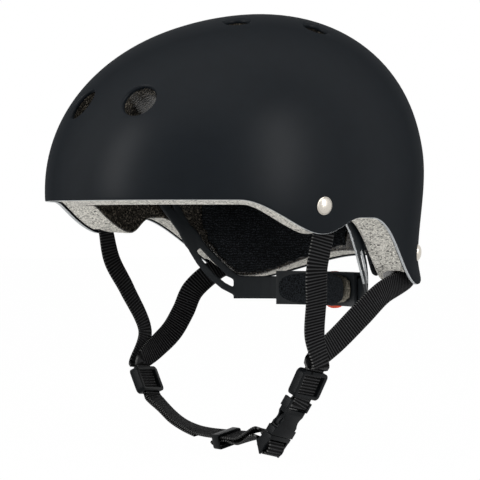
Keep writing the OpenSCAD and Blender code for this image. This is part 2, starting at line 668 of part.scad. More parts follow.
// Keeper: a moulded ring round the chin webbing and its folded tail
fold = [for (q = [[4, -13.2, -148], [0.8, -12.8, -148.9], [4, -13.2, -149.9], [12, -14.2, -149.9]])
    harness_scale * q];
keeper_at = harness_scale * [8, -13.7, -147.4];
keeper_tilt = asin(chin_route[6][1].z);
keeper_turn = atan2(chin_route[6][0].y - chin_route[5][0].y, chin_route[6][0].x - chin_route[5][0].x);
keeper_inner = [16.2, 7];
keeper_wall = 1.2;
keeper_length = 6.4;
module strap_keeper() {
    color("#1a1b1d") translate(keeper_at) rotate([0, 0, keeper_turn]) rotate([keeper_tilt, 0, 0])
        rotate([0, 90, 0]) translate([0, 0, -keeper_length / 2]) linear_extrude(keeper_length) difference() {
            rounded_rectangle(keeper_inner.y + 2 * keeper_wall, keeper_inner.x + 2 * keeper_wall, 1.6);
            square([keeper_inner.y, keeper_inner.x], center = true);
        }
}

// Fit band: everything on it lies on an upright cylinder about this axis
band_axis_y = 9.4;
band_z = -57;
dial_z = band_z - 1;
module on_band(angle, z, r = band_radius) {
    translate([0, band_axis_y, z]) rotate([0, 0, 90 - angle]) translate([r, 0, 0]) rotate([0, 90, 0])
        children();
}
module band_run(stations) {
    for (i = [0 : len(stations) - 2]) hull() for (q = [stations[i], stations[i + 1]])
        on_band(q[0], q[1]) translate([0, 0, -band_thick / 2]) cylinder(d = q[2], h = band_thick, $fn = 12);
}
leg_width = 6;
rim_width = 4.6;
front_leg = [[97, 11, leg_width + 3], [92, 3, leg_width], [87, -4, leg_width], [81.5, -11, leg_width + 1],
    [76, -18, leg_width + 3]];
rear_leg = [[85, 13, leg_width + 3], [82.5, 3, leg_width - 1], [79, -7, leg_width - 1],
    [75, -16, leg_width + 1]];
neck = [[76, -18, leg_width + 3], [73, -22, leg_width + 6], [70.5, -26.5, band_height - 2]];
upper_rim = [[69, -24.5, rim_width], [64, -32, rim_width], [58, -40, rim_width], [52, -47.4, rim_width],
    [48, -51.2, rim_width], [44, -51.9, rim_width], [40, -51.9, rim_width]];
lower_rim = [[71.5, -31.5, rim_width], [67, -40.5, rim_width], [61, -49.5, rim_width],
    [55, -56, rim_width], [49, -60.2, rim_width], [44, -61.9, rim_width], [40, -61.9, rim_width]];
module band_arm() {
    difference() {
        for (run = [front_leg, rear_leg, neck, upper_rim, lower_rim]) band_run(run);
        for (q = anchor_places) on_band(q[0], q[1]) hull() translate([0, 0, -band_thick])
            cylinder(d = anchor_stem + 0.4, h = 2 * band_thick, $fn = cut_fn);
    }
    translate([0, band_axis_y, band_z - band_height / 2]) rotate([0, 0, 90 - 50])
        rotate_extrude(angle = 50 - cradle_angle + 1.6, $fn = 72)
        translate([band_radius - band_thick / 2, 0]) square([band_thick, band_height]);
}
module left_band_arm() {
    color("#2a2d30") band_arm();
}
module right_band_arm() {
    color("#2a2d30") mirror([1, 0, 0]) band_arm();
}
anchor_places = [[97, 11], [85, 13]];
anchor_head = 7;
anchor_stem = 4;
anchor_reach = 15;
module band_anchors() {
    color("#222426") for (side = [-1, 1], q = anchor_places) on_band(side * q[0], q[1]) {
        translate([0, 0, -band_thick / 2 - 2]) cylinder(d = anchor_head, h = 1.4, $fn = round_fn);
        translate([0, 0, band_thick / 2 + 0.2]) cylinder(d = anchor_head, h = 1, $fn = round_fn);
        translate([0, 0, -band_thick / 2 - 1.4]) cylinder(d = anchor_stem, h = anchor_reach, $fn = round_fn);
    }
}

// Rear cradle: a channel for the two racks, closed by a cover
rack_play = 0.6;
channel_in = band_radius - band_thick / 2 - rack_play;
channel_out = band_radius + band_thick / 2 + rack_play;
module band_sector(r_0, r_1, z_0, z_1, a_0, a_1) {
    translate([0, band_axis_y, 0]) rotate([0, 0, 90 - a_1]) rotate_extrude(angle = a_1 - a_0, $fn = 120)
        translate([r_0, z_0]) square([r_1 - r_0, z_1 - z_0]);
}
cradle_low = band_z - cradle_height / 2;
cradle_high = band_z + cradle_height / 2;
lip_height = (cradle_height - band_height) / 2 - 1.6;
hub_d = 8;
hub_clear = 0.2;
screw_d = 3;
module through_axis(d, y_0, y_1) {
    translate([0, y_0, dial_z]) rotate([-90, 0, 0]) cylinder(d = d, h = y_1 - y_0, $fn = round_fn);
}
cradle_inner = channel_in - cradle_wall;
cradle_outer = channel_out + cradle_wall;
module cradle_housing() {
    color("#202224") difference() {
        union() {
            band_sector(cradle_inner, channel_in, cradle_low, cradle_high, -cradle_angle, cradle_angle);
            band_sector(channel_in - eps, channel_out, cradle_low, cradle_low + lip_height, -cradle_angle,
                cradle_angle);
            band_sector(channel_in - eps, channel_out, cradle_high - lip_height, cradle_high, -cradle_angle,
                cradle_angle);
        }
        through_axis(screw_d, band_axis_y + cradle_inner - 1, band_axis_y + channel_in + 1);
    }
}
module cradle_cover() {
    color("#232527") difference() {
        band_sector(channel_out, cradle_outer, cradle_low, cradle_high, -cradle_angle, cradle_angle);
        through_axis(hub_d + 2 * hub_clear, band_axis_y + channel_out - 2, band_axis_y + cradle_outer + 1);
    }
}

// Racks and pinion: ten teeth, one rack above the pinion and one below
teeth = 10;
tooth_pitch = 2 * PI * pinion_radius / teeth;
tooth_high = 0.6;
tooth_wide = 1.05;
rack_bar = 1.9;
rack_reach = 9.6;
tab_inner = 22.5;
module rack(side) {
    pitch_angle = tooth_pitch / (band_radius * PI / 180);
    r_0 = band_radius - band_thick / 2;
    r_1 = band_radius + band_thick / 2;
    base = pinion_radius + tooth_high + 0.2;
    half = tooth_wide / 2 / (band_radius * PI / 180);
    function sector(a, b) = side > 0 ? [a, b] : [-b, -a];
    function level(a, b) = side > 0 ? [dial_z + a, dial_z + b] : [dial_z - b, dial_z - a];
    module block(za, zb, a, b, inset) {
        z = level(za, zb);
        w = sector(a, b);
        band_sector(r_0 + inset, r_1 - inset, z[0], z[1], w[0], w[1]);
    }
    block(base, base + rack_bar, -rack_reach, tab_inner + 0.5, 0);
    for (k = [-4 : 7]) let (a = (k + 0.5) * pitch_angle)
        block(pinion_radius - tooth_high + 0.15, base + 0.5, a - half, a + half, 0.06);
    tab = sector(tab_inner, cradle_angle - 1.8);
    band_sector(r_0 - 0.1, r_1 + 0.1, band_z - band_height / 2, band_z + band_height / 2, tab[0], tab[1]);
}
module left_rack() {
    color("#2a2d30") rack(1);
}
module right_rack() {
    color("#2a2d30") rack(-1);
}
gear_gap = 0.4;
gear_y = band_axis_y + channel_in + gear_gap;
gear_thick = band_thick + 2 * rack_play - 2 * gear_gap;
knob_y = band_axis_y + cradle_outer + 0.4;
module dial_pinion() {
    color("#2a2d30") difference() {
        union() {
            translate([0, gear_y, dial_z]) rotate([-90, 0, 0]) {
                cylinder(r = pinion_radius - tooth_high, h = gear_thick, $fn = round_fn);
                for (k = [0 : teeth - 1]) rotate([0, 0, 90 + k * 360 / teeth]) linear_extrude(gear_thick)
                    polygon([[pinion_radius - tooth_high - 0.3, -tooth_wide / 2],
                        [pinion_radius + tooth_high - 0.15, -tooth_wide / 3],
                        [pinion_radius + tooth_high - 0.15, tooth_wide / 3],
                        [pinion_radius - tooth_high - 0.3, tooth_wide / 2]]);
            }
            through_axis(hub_d, gear_y + gear_thick - eps, knob_y);
        }
        through_axis(screw_d + 2 * hub_clear, gear_y - 1, knob_y + 1);
    }
}
ring_y = knob_y + 2.4;
ring_thick = 2.6;
ring_teeth = 36;
drum_d = dial_dia - 3;
screw_head = 6;
screw_sink = 2.4;
module dial_knob() {
    color("#3a3c3e") difference() {
        union() {
            through_axis(drum_d - 1.6, knob_y, knob_y + dial_thick - 1);
            for (k = [0 : ring_teeth - 1]) translate([0, knob_y, dial_z]) rotate([-90, 0, 0])
                rotate([0, 0, k * 360 / ring_teeth]) translate([drum_d / 2 - 1.2, -0.5, 0])
                cube([1.2, 1, ring_y - knob_y]);
            translate([0, ring_y + ring_thick, dial_z]) rotate([-90, 0, 0])
                cylinder(d1 = dial_dia - 1, d2 = dial_dia - 4, h = knob_y + dial_thick - ring_y - ring_thick,
                    $fn = round_fn);
        }
        through_axis(screw_d + 2 * hub_clear, knob_y - 1, knob_y + dial_thick + 1);
        through_axis(screw_head + 1, knob_y + dial_thick - screw_sink, knob_y + dial_thick + 1);
    }
}
module dial_ring() {
    color("#e8491d") translate([0, ring_y, dial_z]) rotate([-90, 0, 0]) linear_extrude(ring_thick) difference() {
        union() {
            circle(d = dial_dia - 1, $fn = fine_fn);
            for (k = [0 : ring_teeth - 1]) rotate(k * 360 / ring_teeth) translate([dial_dia / 2 - 1.2, -0.6])
                square([1.2, 1.2]);
        }
        circle(d = drum_d - 1.5, $fn = fine_fn);
    }
}
module dial_screw() {
    color("#8f9092") {
        through_axis(screw_d, band_axis_y + cradle_inner + 0.4, knob_y + dial_thick - screw_sink);
        through_axis(screw_head, knob_y + dial_thick - screw_sink, knob_y + dial_thick - 0.8);
    }
}

// Cradle cushion: a foam block with a knitted face, drawn in at its edge
cushion_angle = 25;
cushion_height = cradle_height - 1.6;
fabric_thick = 1;
module cradle_pad(r_back, r_edge, r_front) {
    n = 32;
    rings = 4;
    radii = [for (k = [1 : rings]) sin(90 * k / rings)];
    function edge(a) = pow(pow(abs(cos(a)), 3) + pow(abs(sin(a)), 3), -1 / 3);
    function place(r, a, depth) = let (
        angle = cushion_angle * r * cos(a) * edge(a),
        z = band_z + cushion_height / 2 * r * sin(a) * edge(a))
        [depth * sin(angle), band_axis_y + depth * cos(angle), z];
    front = [for (r = radii, i = [0 : n - 1]) let (a = i * 360 / n)
        place(r, a, r_edge + (r_front - r_edge) * sqrt(max(0, 1 - pow(r, 4))))];
    back = [for (r = radii, i = [0 : n - 1]) place(r, i * 360 / n, r_back)];
    m = n * rings;
    faces = concat(
        [for (i = [0 : n - 1]) let (k = (i + 1) % n) each [[k, i, 2 * m], [m + i, m + k, 2 * m + 1]]],
        [for (j = [0 : rings - 2], i = [0 : n - 1]) let (k = (i + 1) % n, a = j * n, b = a + n) each [
            [a + i, a + k, b + k], [a + i, b + k, b + i],
            [m + a + i, m + b + k, m + a + k], [m + a + i, m + b + i, m + b + k]]],
        [for (i = [0 : n - 1]) let (k = (i + 1) % n, b = m - n) each [
            [b + i, b + k, m + b + k], [b + i, m + b + k, m + b + i]]]);
    polyhedron(concat(front, back, [place(0, 0, r_front), place(0, 0, r_back)]), faces, convexity = 4);
}
foam_back = cradle_inner - 0.1;
foam_front = foam_back - cushion_foam;
module cradle_foam() {
    color("#a9a59a") cradle_pad(foam_back, foam_back - 3, foam_front);
}
module cradle_fabric() {
    color("#141517") cradle_pad(foam_front - 0.15, foam_front - 0.15 - 0.4, foam_front - 0.15 - fabric_thick);
}

outer_shell();
eps_liner();
front_pad();
crown_pad();
left_side_pad();
right_side_pad();
left_rear_pad();
right_rear_pad();
hook_dots();
left_side_rivet();
right_side_rivet();
left_rear_rivet();
right_rear_rivet();
rivet_washers();
left_strap();
right_front_strap();
right_rear_strap();
left_slider();
right_slider();
buckle_socket();
buckle_plug();
front_prong();
rear_prong();
strap_keeper();
left_band_arm();
right_band_arm();
band_anchors();
cradle_housing();
cradle_cover();
left_rack();
right_rack();
cradle_foam();
cradle_fabric();
dial_pinion();
dial_knob();
dial_ring();
dial_screw();
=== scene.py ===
# A hard-shell sport helmet dressed for close views: a fine shell with rolled vents, a beaded
# foam liner, knitted pads, ribbed webbing and moulded hardware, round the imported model.
import json
import math
from contextlib import contextmanager

import bmesh
import bpy
import numpy as np
from bpy.props import FloatProperty, FloatVectorProperty, PointerProperty
from mathutils import Matrix, Vector

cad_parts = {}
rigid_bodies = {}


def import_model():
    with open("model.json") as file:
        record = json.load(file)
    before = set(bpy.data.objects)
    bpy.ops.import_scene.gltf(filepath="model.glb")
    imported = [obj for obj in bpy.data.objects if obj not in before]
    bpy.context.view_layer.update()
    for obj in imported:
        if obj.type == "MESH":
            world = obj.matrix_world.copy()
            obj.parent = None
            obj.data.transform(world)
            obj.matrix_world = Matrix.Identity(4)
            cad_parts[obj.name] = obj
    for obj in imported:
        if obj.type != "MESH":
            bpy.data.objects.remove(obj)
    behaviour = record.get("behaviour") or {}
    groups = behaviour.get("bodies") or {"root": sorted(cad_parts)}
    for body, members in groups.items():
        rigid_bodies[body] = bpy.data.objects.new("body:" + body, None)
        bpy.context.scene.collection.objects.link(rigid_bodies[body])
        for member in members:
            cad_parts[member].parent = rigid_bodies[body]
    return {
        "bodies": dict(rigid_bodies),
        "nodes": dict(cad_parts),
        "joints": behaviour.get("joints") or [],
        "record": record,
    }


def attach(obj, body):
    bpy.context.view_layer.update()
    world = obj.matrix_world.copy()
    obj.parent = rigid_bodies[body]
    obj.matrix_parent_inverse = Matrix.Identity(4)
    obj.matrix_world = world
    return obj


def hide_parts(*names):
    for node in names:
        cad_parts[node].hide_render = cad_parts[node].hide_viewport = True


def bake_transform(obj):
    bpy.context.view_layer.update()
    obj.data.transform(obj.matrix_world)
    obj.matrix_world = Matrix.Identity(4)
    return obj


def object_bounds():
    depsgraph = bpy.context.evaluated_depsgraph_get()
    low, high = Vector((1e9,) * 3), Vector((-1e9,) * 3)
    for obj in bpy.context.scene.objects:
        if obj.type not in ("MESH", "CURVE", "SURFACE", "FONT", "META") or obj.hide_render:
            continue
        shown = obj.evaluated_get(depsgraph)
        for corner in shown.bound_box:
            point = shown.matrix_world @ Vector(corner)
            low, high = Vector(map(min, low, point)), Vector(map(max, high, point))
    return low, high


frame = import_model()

bl_info = {
    "name": "Sport helmet",
    "version": (1, 0, 0),
    "blender": (4, 5, 0),
    "location": "3D View > Sidebar > Helmet",
    "description": "Dresses a packed sport helmet with its finished surfaces and soft pieces",
    "category": "Add Mesh",
}

CAD_NODES = frame["nodes"]
CAD_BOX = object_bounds()
MM = 0.001
MIX_LOW, MIX_HIGH = 6, 7  # The colour sockets of a Mix node
WAVE_BANDS = 3.2  # Bands of a Wave texture in the width that its scale stands for


# Colours and node trees

def linear(code):
    """An sRGB hex colour as the linear values that Blender's sockets take."""
    parts = [int(code[i:i + 2], 16) / 255 for i in (1, 3, 5)]
    return tuple(c / 12.92 if c <= 0.04045 else ((c + 0.055) / 1.055) ** 2.4 for c in parts)


def give(node, sockets):
    """Gives a node's sockets their values, or links from a socket or a node's own output."""
    for name, value in sockets.items():
        socket = node.inputs[name]
        if isinstance(value, bpy.types.Node):
            value = next(out for out in value.outputs if out.enabled)
        if isinstance(value, bpy.types.NodeSocket):
            node.id_data.links.new(value, socket)
        else:
            socket.default_value = (*value, 1) if socket.type == "RGBA" else value


def add(tree, kind, sockets=None, stops=(), **settings):
    """Adds a node with its settings, the stops of its ramp, and what its sockets hold."""
    made = tree.nodes.new(kind)
    for name, value in settings.items():
        setattr(made, name, value)
    for _ in stops[2:]:
        made.color_ramp.elements.new(0.5)
    for k, (position, colour) in enumerate(stops):
        made.color_ramp.elements[k].position = position
        made.color_ramp.elements[k].color = (*np.broadcast_to(colour, 3), 1)
    give(made, sockets or {})
    return made


def size(name, value, text, low=0.0):
    """A length in millimetres that a user can change."""
    return FloatProperty(name=name, description=text, default=value, min=low)


def tint(name, code, text):
    """A colour that a user can change."""
    return FloatVectorProperty(name=name, description=text, subtype="COLOR", size=3,
                               min=0.0, max=1.0, default=linear(code))


class HelmetSizes(bpy.types.PropertyGroup):
    """Sizes of the helmet in millimetres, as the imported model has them."""
    half_width: size("Half width", 106, "Half the width of the shell at its widest")
    front: size("Front", 130, "Length of the shell in front of its widest line")
    rear: size("Rear", 127, "Length of the shell behind its widest line")
    crown: size("Crown", 104, "Height of the crown above the widest line")
    wall: size("Wall", 2.5, "Wall of the shell")
    flare: size("Flare", 1, "How far the rear corners of the rim flare out")
    brim: size("Brim height", -1.5, "Height of the front brim's edge", -10)
    ear: size("Ear height", -21, "Height of the ear flap's lowest point", -40)
    arch: size("Arch height", -11.5, "Height of the arch behind the ear", -40)
    nape: size("Nape height", -53, "Height of the rear corners' lowest point", -80)
    notch: size("Notch height", -36, "Height of the notch at the rear centre", -80)
    liner_gap: size("Liner gap", 0.3, "Gap between the shell and the liner")
    liner_side: size("Liner side", 21, "Thickness of the liner at the front and sides")
    liner_back: size("Liner back", 25, "Thickness of the liner at the back")
    liner_drop: size("Liner drop", 2.5, "How far the liner hangs below the front brim")
    liner_lift: size("Liner lift", 3, "How far the liner stops short of the rear corners")
    big_vent: size("Big vent", 21, "Bore of the front and rear vents")
    small_vent: size("Small vent", 15, "Bore of the crown vents")
    vent_lip: size("Vent lip", 3.5, "How much wider a vent's rolled lip is than its bore")
    rivet_cap: size("Rivet cap", 10, "Diameter of a rivet's domed cap")
    rivet_dome: size("Rivet dome", 2.4, "Height of a rivet's domed cap")
    web_width: size("Webbing width", 15, "Width of the webbing")
    web_thick: size("Webbing thickness", 1.4, "Thickness of the webbing")
    web_gap: size("Webbing gap", 1.2, "Gap between the shell and the webbing")
    rib_pitch: size("Rib pitch", 1.9, "Spacing of the webbing's cross ribs")
    stitch_length: size("Stitch length", 2.6, "Length of one stitch")


class HelmetColours(bpy.types.PropertyGroup):
    """Colours of the helmet's finishes."""
    shell: tint("Shell", "#0e1216", "Moulded ABS of the shell")
    shell_edge: tint("Shell edge", "#b4b8ba", "Trimmed edge of the shell")
    foam: tint("Liner", "#e2dfd6", "Cut beads of the foam liner")
    # The liner foam darkened as painted shade, for its inner faces and vent channels
    foam_skin: tint("Liner skin", "#4f4a42", "Moulded skin of the foam liner")
    knit: tint("Knit", "#131517", "Knitted cover of the pads")
    webbing: tint("Webbing", "#0b0b0c", "Chin webbing")
    # Painted highlight on the crests of the webbing's ribs
    rib_crest_highlight: tint("Webbing ribs", "#2a2a2b", "Raised ribs of the webbing")
    # Painted highlight dashes on the weft turns at the webbing's edge
    selvedge: tint("Selvedge", "#5e5e5d", "Turns of the weft at the webbing's edge")
    acetal: tint("Hardware", "#0b0d0f", "Sliders and buckle")
    band: tint("Fit band", "#1c2023", "Fit band and cradle")
    # Painted highlight along the front edge of the fit band's legs
    band_edge_highlight: tint("Band edge", "#b4b7b8", "Front edge of the fit band's legs")
    rivet: tint("Rivets", "#cdc7bd", "Plated rivets")
    cushion: tint("Cushion", "#8d887b", "Foam edge of the cradle's cushion")
    dial_ring: tint("Dial ring", "#ff5320", "Toothed ring of the dial")
    dial_knob: tint("Dial knob", "#43484b", "Drum of the dial")


def the_sizes():
    return bpy.context.scene.helmet_sizes


def the_colours():
    return bpy.context.scene.helmet_colours


# The helmet's form, in degrees and millimetres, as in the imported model

def ease(a, b, x):
    """0 below a, 1 above b, and a smooth step between."""
    u = np.clip((x - a) / (b - a), 0, 1)
    return u * u * (3 - 2 * u)


def unit(v):
    """The same direction or directions, with length 1."""
    return v / np.linalg.norm(v, axis=-1, keepdims=True)


def wrap(phi):
    """Plan angle from the front, 0 to 180, on either side."""
    return np.abs(np.where(phi > 180, phi - 360, phi))


class Dome:
    """The dome: plan angle from the front, polar angle from the crown, depth under its face."""
    plan_power = 2.05
    side_power = 2.18
    pitch = math.radians(15)
    back = 5
    up = 10
    taper = 0.135
    taper_reach = 85
    skirt = 100
    flare_span = 13

    def __init__(self, sizes):
        self.sizes = sizes

    def plan_radius(self, phi, depth):
        """Distance from the dome's axis to its widest line."""
        s = self.sizes
        along = np.where(np.cos(np.radians(phi)) > 0, s.front, s.rear) - depth
        wide = np.abs(np.sin(np.radians(phi))) / (s.half_width - depth)
        long = np.abs(np.cos(np.radians(phi))) / along
        return (wide ** self.plan_power + long ** self.plan_power) ** (-1 / self.plan_power)

    def point(self, phi, t, depth):
        """A point this deep under the dome's face."""
        phi, t, depth = np.broadcast_arrays(*(np.asarray(v, float) for v in (phi, t, depth)))
        sin_t = np.abs(np.sin(np.radians(t)))
        cos_t = np.cos(np.radians(t))
        round_off = (sin_t ** self.side_power + np.abs(cos_t) ** self.side_power) ** (
            -1 / self.side_power)
        below = (t - 90) / 90 * self.skirt
        plan = self.plan_radius(phi, depth)
        rho = np.where(t > 90, plan * (1 - self.taper * ease(0, self.taper_reach, below)),
                       plan * sin_t * round_off)
        high = np.where(t > 90, -below, (self.sizes.crown - depth) * cos_t * round_off)
        x = rho * np.sin(np.radians(phi))
        y = -rho * np.cos(np.radians(phi))
        c, s = math.cos(self.pitch), math.sin(self.pitch)
        return np.stack([x, y * c - high * s + self.back, y * s + high * c + self.up], -1)

    def normal(self, phi, t):
        a = self.point(phi + 1, t, 0) - self.point(phi - 1, t, 0)
        b = self.point(phi, t + 1, 0) - self.point(phi, t - 1, 0)
        return unit(np.cross(b, a))

    def polar_at(self, phi, z, depth):
        """The polar angle at which the dome is this high, found by halving."""
        phi = np.asarray(phi, float)
        low = np.full(phi.shape, 40.0)
        high = np.full(phi.shape, 178.0)
        for _ in range(22):
            mid = (low + high) / 2
            above = self.point(phi, mid, depth)[..., 2] > z
            low = np.where(above, mid, low)
            high = np.where(above, high, mid)
        return (low + high) / 2

    def rim_height(self, phi):
        s, p = self.sizes, wrap(phi)
        return (s.brim + (s.ear - s.brim) * ease(45, 69, p) + (s.arch - s.ear) * ease(70, 86, p)
                + (s.nape - s.arch) * ease(92, 128, p) + (s.notch - s.nape) * ease(129, 176, p))

    def flared(self, phi, t, depth):
        """A point of the dome, moved out where the rear corners of the rim flare."""
        t_rim = self.polar_at(phi, self.rim_height(phi), 0)
        k = self.sizes.flare * ease(104, 130, wrap(phi)) * ease(t_rim - self.flare_span, t_rim, t)
        out = np.stack([np.sin(np.radians(phi)), -np.cos(np.radians(phi)), 0 * phi], -1)
        return self.point(phi, t, depth) + k[..., None] * out

    def liner_outer(self):
        return self.sizes.wall + self.sizes.liner_gap

    def liner_inner(self, phi, t):
        s = self.sizes
        thicker = (s.liner_back - s.liner_side) * ease(110, 165, wrap(phi)) * ease(30, 75, t)
        return self.liner_outer() + s.liner_side + thicker

    def liner_rim(self, phi):
        s, p = self.sizes, wrap(phi)
        return (self.rim_height(phi) - s.liner_drop * (1 - ease(52, 66, p))
                + s.liner_lift * ease(100, 130, p))

    def place(self, phi, t):
        """The frame on the dome's face, in metres, with +Z along the outward normal."""
        n = Vector(self.normal(phi, t))
        return Matrix.Translation(Vector(self.point(phi, t, 0)) * MM) @ (
            n.to_track_quat("Z", "Y").to_matrix().to_4x4())


def the_dome():
    return Dome(the_sizes())


def vents(sizes):
    """Plan angle, polar angle and bore of each vent."""
    half = [(15.3, 46.5, sizes.big_vent), (88.5, 13.5, sizes.small_vent),
            (125.5, 34, sizes.small_vent), (163, 62, sizes.big_vent)]
    return [(side * phi, t, bore) for side in (-1, 1) for phi, t, bore in half]


SIDE_RIVET = (71, -4.5)
REAR_RIVET = (134, -33)


def rivet_polar(dome, spot):
    return float(dome.polar_at(spot[0], spot[1], 0))


# Meshes

def in_scene(name, data):
    """An object in the scene, at the origin."""
    made = bpy.data.objects.new(name, data)
    bpy.context.scene.collection.objects.link(made)
    return made


def coat(obj, *materials):
    """Gives an object these finishes in place of its own."""
    obj.data.materials.clear()
    for material in materials:
        obj.data.materials.append(material)
    return obj


def smooth(mesh):
    mesh.polygons.foreach_set("use_smooth", [True] * len(mesh.polygons))


def crisp(mesh, angle):
    """Smooth faces, with edges sharper than the angle kept crisp."""
    smooth(mesh)
    mesh.set_sharp_from_angle(angle=math.radians(angle))


def new_object(name, verts, faces, materials=(), edges=()):
    """A smooth mesh object from points in millimetres."""
    mesh = bpy.data.meshes.new(name)
    mesh.from_pydata((np.asarray(verts) * MM).tolist(), edges, faces)
    smooth(mesh)
    return coat(in_scene(name, mesh), *materials)


def copy_of(node, name, material):
    """A separate copy of a CAD node in its new finish."""
    return coat(in_scene(name, CAD_NODES[node].data.copy()), material)


@contextmanager
def reworked(obj):
    """An object's mesh opened for editing, and written back at the end."""
    work = bmesh.new()
    work.from_mesh(obj.data)
    yield work
    work.to_mesh(obj.data)
    work.free()


def set_normals(obj, angle=35):
    """Faces outward, and edges sharper than the angle kept crisp."""
    with reworked(obj) as work:
        bmesh.ops.recalc_face_normals(work, faces=work.faces)
    crisp(obj.data, angle)


def apply_modifiers(obj):
    """Turns what the modifiers make into the object's own plain mesh."""
    seen = obj.evaluated_get(bpy.context.evaluated_depsgraph_get())
    mesh = bpy.data.meshes.new_from_object(seen)
    old = obj.data
    obj.modifiers.clear()
    obj.data = mesh
    bpy.data.meshes.remove(old)


def ringed(name, rings, ends, materials=(), band=None):
    """A closed skin through rings of points, with a point at each end."""
    count = len(rings[0])
    last = (len(rings) - 1) * count
    step = np.arange(count)
    after = (step + 1) % count
    faces = [quad for r in range(len(rings) - 1) for quad in
             np.stack([r * count + step, r * count + after, (r + 1) * count + after,
                       (r + 1) * count + step], -1).tolist()]
    for i, k in zip(step.tolist(), after.tolist()):
        faces.append((last + count, k, i))
        faces.append((last + count + 1, last + i, last + k))
    made = new_object(name, np.concatenate([*rings, np.asarray(ends, float)]), faces, materials)
    if band:
        for face in made.data.polygons[band[0] * count:band[1] * count]:
            face.material_index = 1
    return made


SKIN_PLAN = np.arange(288) * 360 / 288
SKIN_ROWS = 64


def dome_skin(name, outer_depth, outer_z, inner_z, inner_depth, corner, materials, edge_rings=1):
    """A wall of the dome between two depths, with rounded corners at its rim."""
    dome = the_dome()
    phi = SKIN_PLAN
    t_out = dome.polar_at(phi, outer_z, outer_depth)
    t_in = dome.polar_at(phi, inner_z, inner_depth(phi, 90))
    steps = np.arange(1, SKIN_ROWS + 1) / SKIN_ROWS
    outer = [dome.flared(phi, t_out * u, outer_depth) for u in steps]
    inner = [dome.flared(phi, t_in * u, inner_depth(phi, t_in * u)) for u in steps][::-1]

    a, b = outer[-1], inner[0]
    across = unit(b - a)
    a_before = a + unit(outer[-2] - a) * corner
    b_after = b + unit(inner[1] - b) * corner
    a_after, b_before = a + across * corner, b - across * corner

    def bend(p, q, r):
        return [p * (1 - u) ** 2 + 2 * q * u * (1 - u) + r * u * u
                for u in (0, 0.25, 0.5, 0.75, 1)]
    face = [a_after + (b_before - a_after) * u for u in np.arange(1, edge_rings) / edge_rings]
    rings = outer[:-1] + bend(a_before, a, a_after) + face + bend(b_before, b, b_after) + inner[1:]
    band = (len(outer) + 1, len(rings) - len(inner) - 2) if len(materials) > 1 else None
    ends = [dome.point(0, 0, outer_depth), dome.point(0, 0, inner_depth(np.zeros(1), 0)[0])]
    return ringed(name, rings, ends, materials, band)


def turned(name, profile, matrix, segments):
    """A solid of revolution from (radius, height) pairs, placed by a matrix in metres."""
    angle = np.arange(segments) * 2 * math.pi / segments
    rings = [np.stack([r * np.cos(angle), r * np.sin(angle), 0 * angle + z], -1)
             for r, z in profile]
    made = ringed(name, rings, [(0, 0, profile[0][1]), (0, 0, profile[-1][1])])
    made.data.transform(matrix)
    set_normals(made)
    return made


def cut(obj, cutter):
    """Takes one closed solid out of another and deletes the cutter."""
    step = obj.modifiers.new("cut", "BOOLEAN")
    step.operation = "DIFFERENCE"
    step.solver = "MANIFOLD"
    step.object = cutter
    apply_modifiers(obj)
    bpy.data.objects.remove(cutter)


def hull_of(name, points):
    """The convex solid round points in millimetres."""
    made = new_object(name, points, [])
    with reworked(made) as work:
        hull = bmesh.ops.convex_hull(work, input=work.verts)
        inside = [v for v in hull["geom_interior"] if isinstance(v, bmesh.types.BMVert)]
        bmesh.ops.delete(work, geom=inside, context="VERTS")
    return made


def finish(obj, body, slot, *nodes):
    """Rides a piece on its body and stands it in for its CAD nodes, which it hides."""
    if nodes:
        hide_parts(*nodes)
    if body:
        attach(obj, body)


# Finishes. Patterns are in metres on Object coordinates, or in millimetres on a UV map

def new_finish(name, colour, roughness, gloss=0.5, metallic=0.0):
    """A named material with these plain values, its node tree and its shader."""
    made = bpy.data.materials.new(name)
    made.use_nodes = True
    shader = made.node_tree.nodes["Principled BSDF"]
    give(shader, {"Base Color": colour, "Roughness": roughness, "Metallic": metallic,
                  "Specular IOR Level": gloss})
    return made, made.node_tree, shader


def spread(tree, width_mm, **more):
    """The sockets of a pattern that lies on the object and is about this wide."""
    return {"Vector": add(tree, "ShaderNodeTexCoord").outputs["Object"],
            "Scale": 1 / (width_mm * MM), **more}


def scaled(colour, k):
    return tuple(min(1.0, c * k) for c in colour)


def moulded(name, colour, roughness, grain_mm, depth_mm, gloss=0.5):
    """Moulded plastic: a spark-eroded grain, and a sheen that wanders a little."""
    if name in bpy.data.materials:
        return bpy.data.materials[name]
    made, tree, shader = new_finish(name, colour, roughness, gloss)
    blotch = add(tree, "ShaderNodeTexNoise", spread(tree, 9, Detail=3))
    grain = add(tree, "ShaderNodeTexNoise", spread(tree, grain_mm))
    give(shader, {
        "Base Color": add(tree, "ShaderNodeValToRGB", {"Fac": blotch}, stops=[
            (0.3, scaled(colour, 0.93)), (0.7, scaled(colour, 1.07))]),
        "Roughness": add(tree, "ShaderNodeValToRGB", {"Fac": blotch}, stops=[
            (0.3, roughness - 0.02), (0.7, roughness + 0.02)]),
        "Normal": add(tree, "ShaderNodeBump", {"Height": grain, "Distance": depth_mm * MM})})
    return made


def patterned(name, colour, roughness, gloss, kind, sockets, stops, depth_mm):
    """A finish in which one pattern sets both the shade and the relief."""
    made, tree, shader = new_finish(name, colour, roughness, gloss)
    pattern = add(tree, kind, spread(tree, **sockets))
    give(shader, {
        "Base Color": add(tree, "ShaderNodeValToRGB", {"Fac": pattern}, stops=stops),
        "Normal": add(tree, "ShaderNodeBump", {"Height": pattern, "Distance": depth_mm * MM})})
    return made


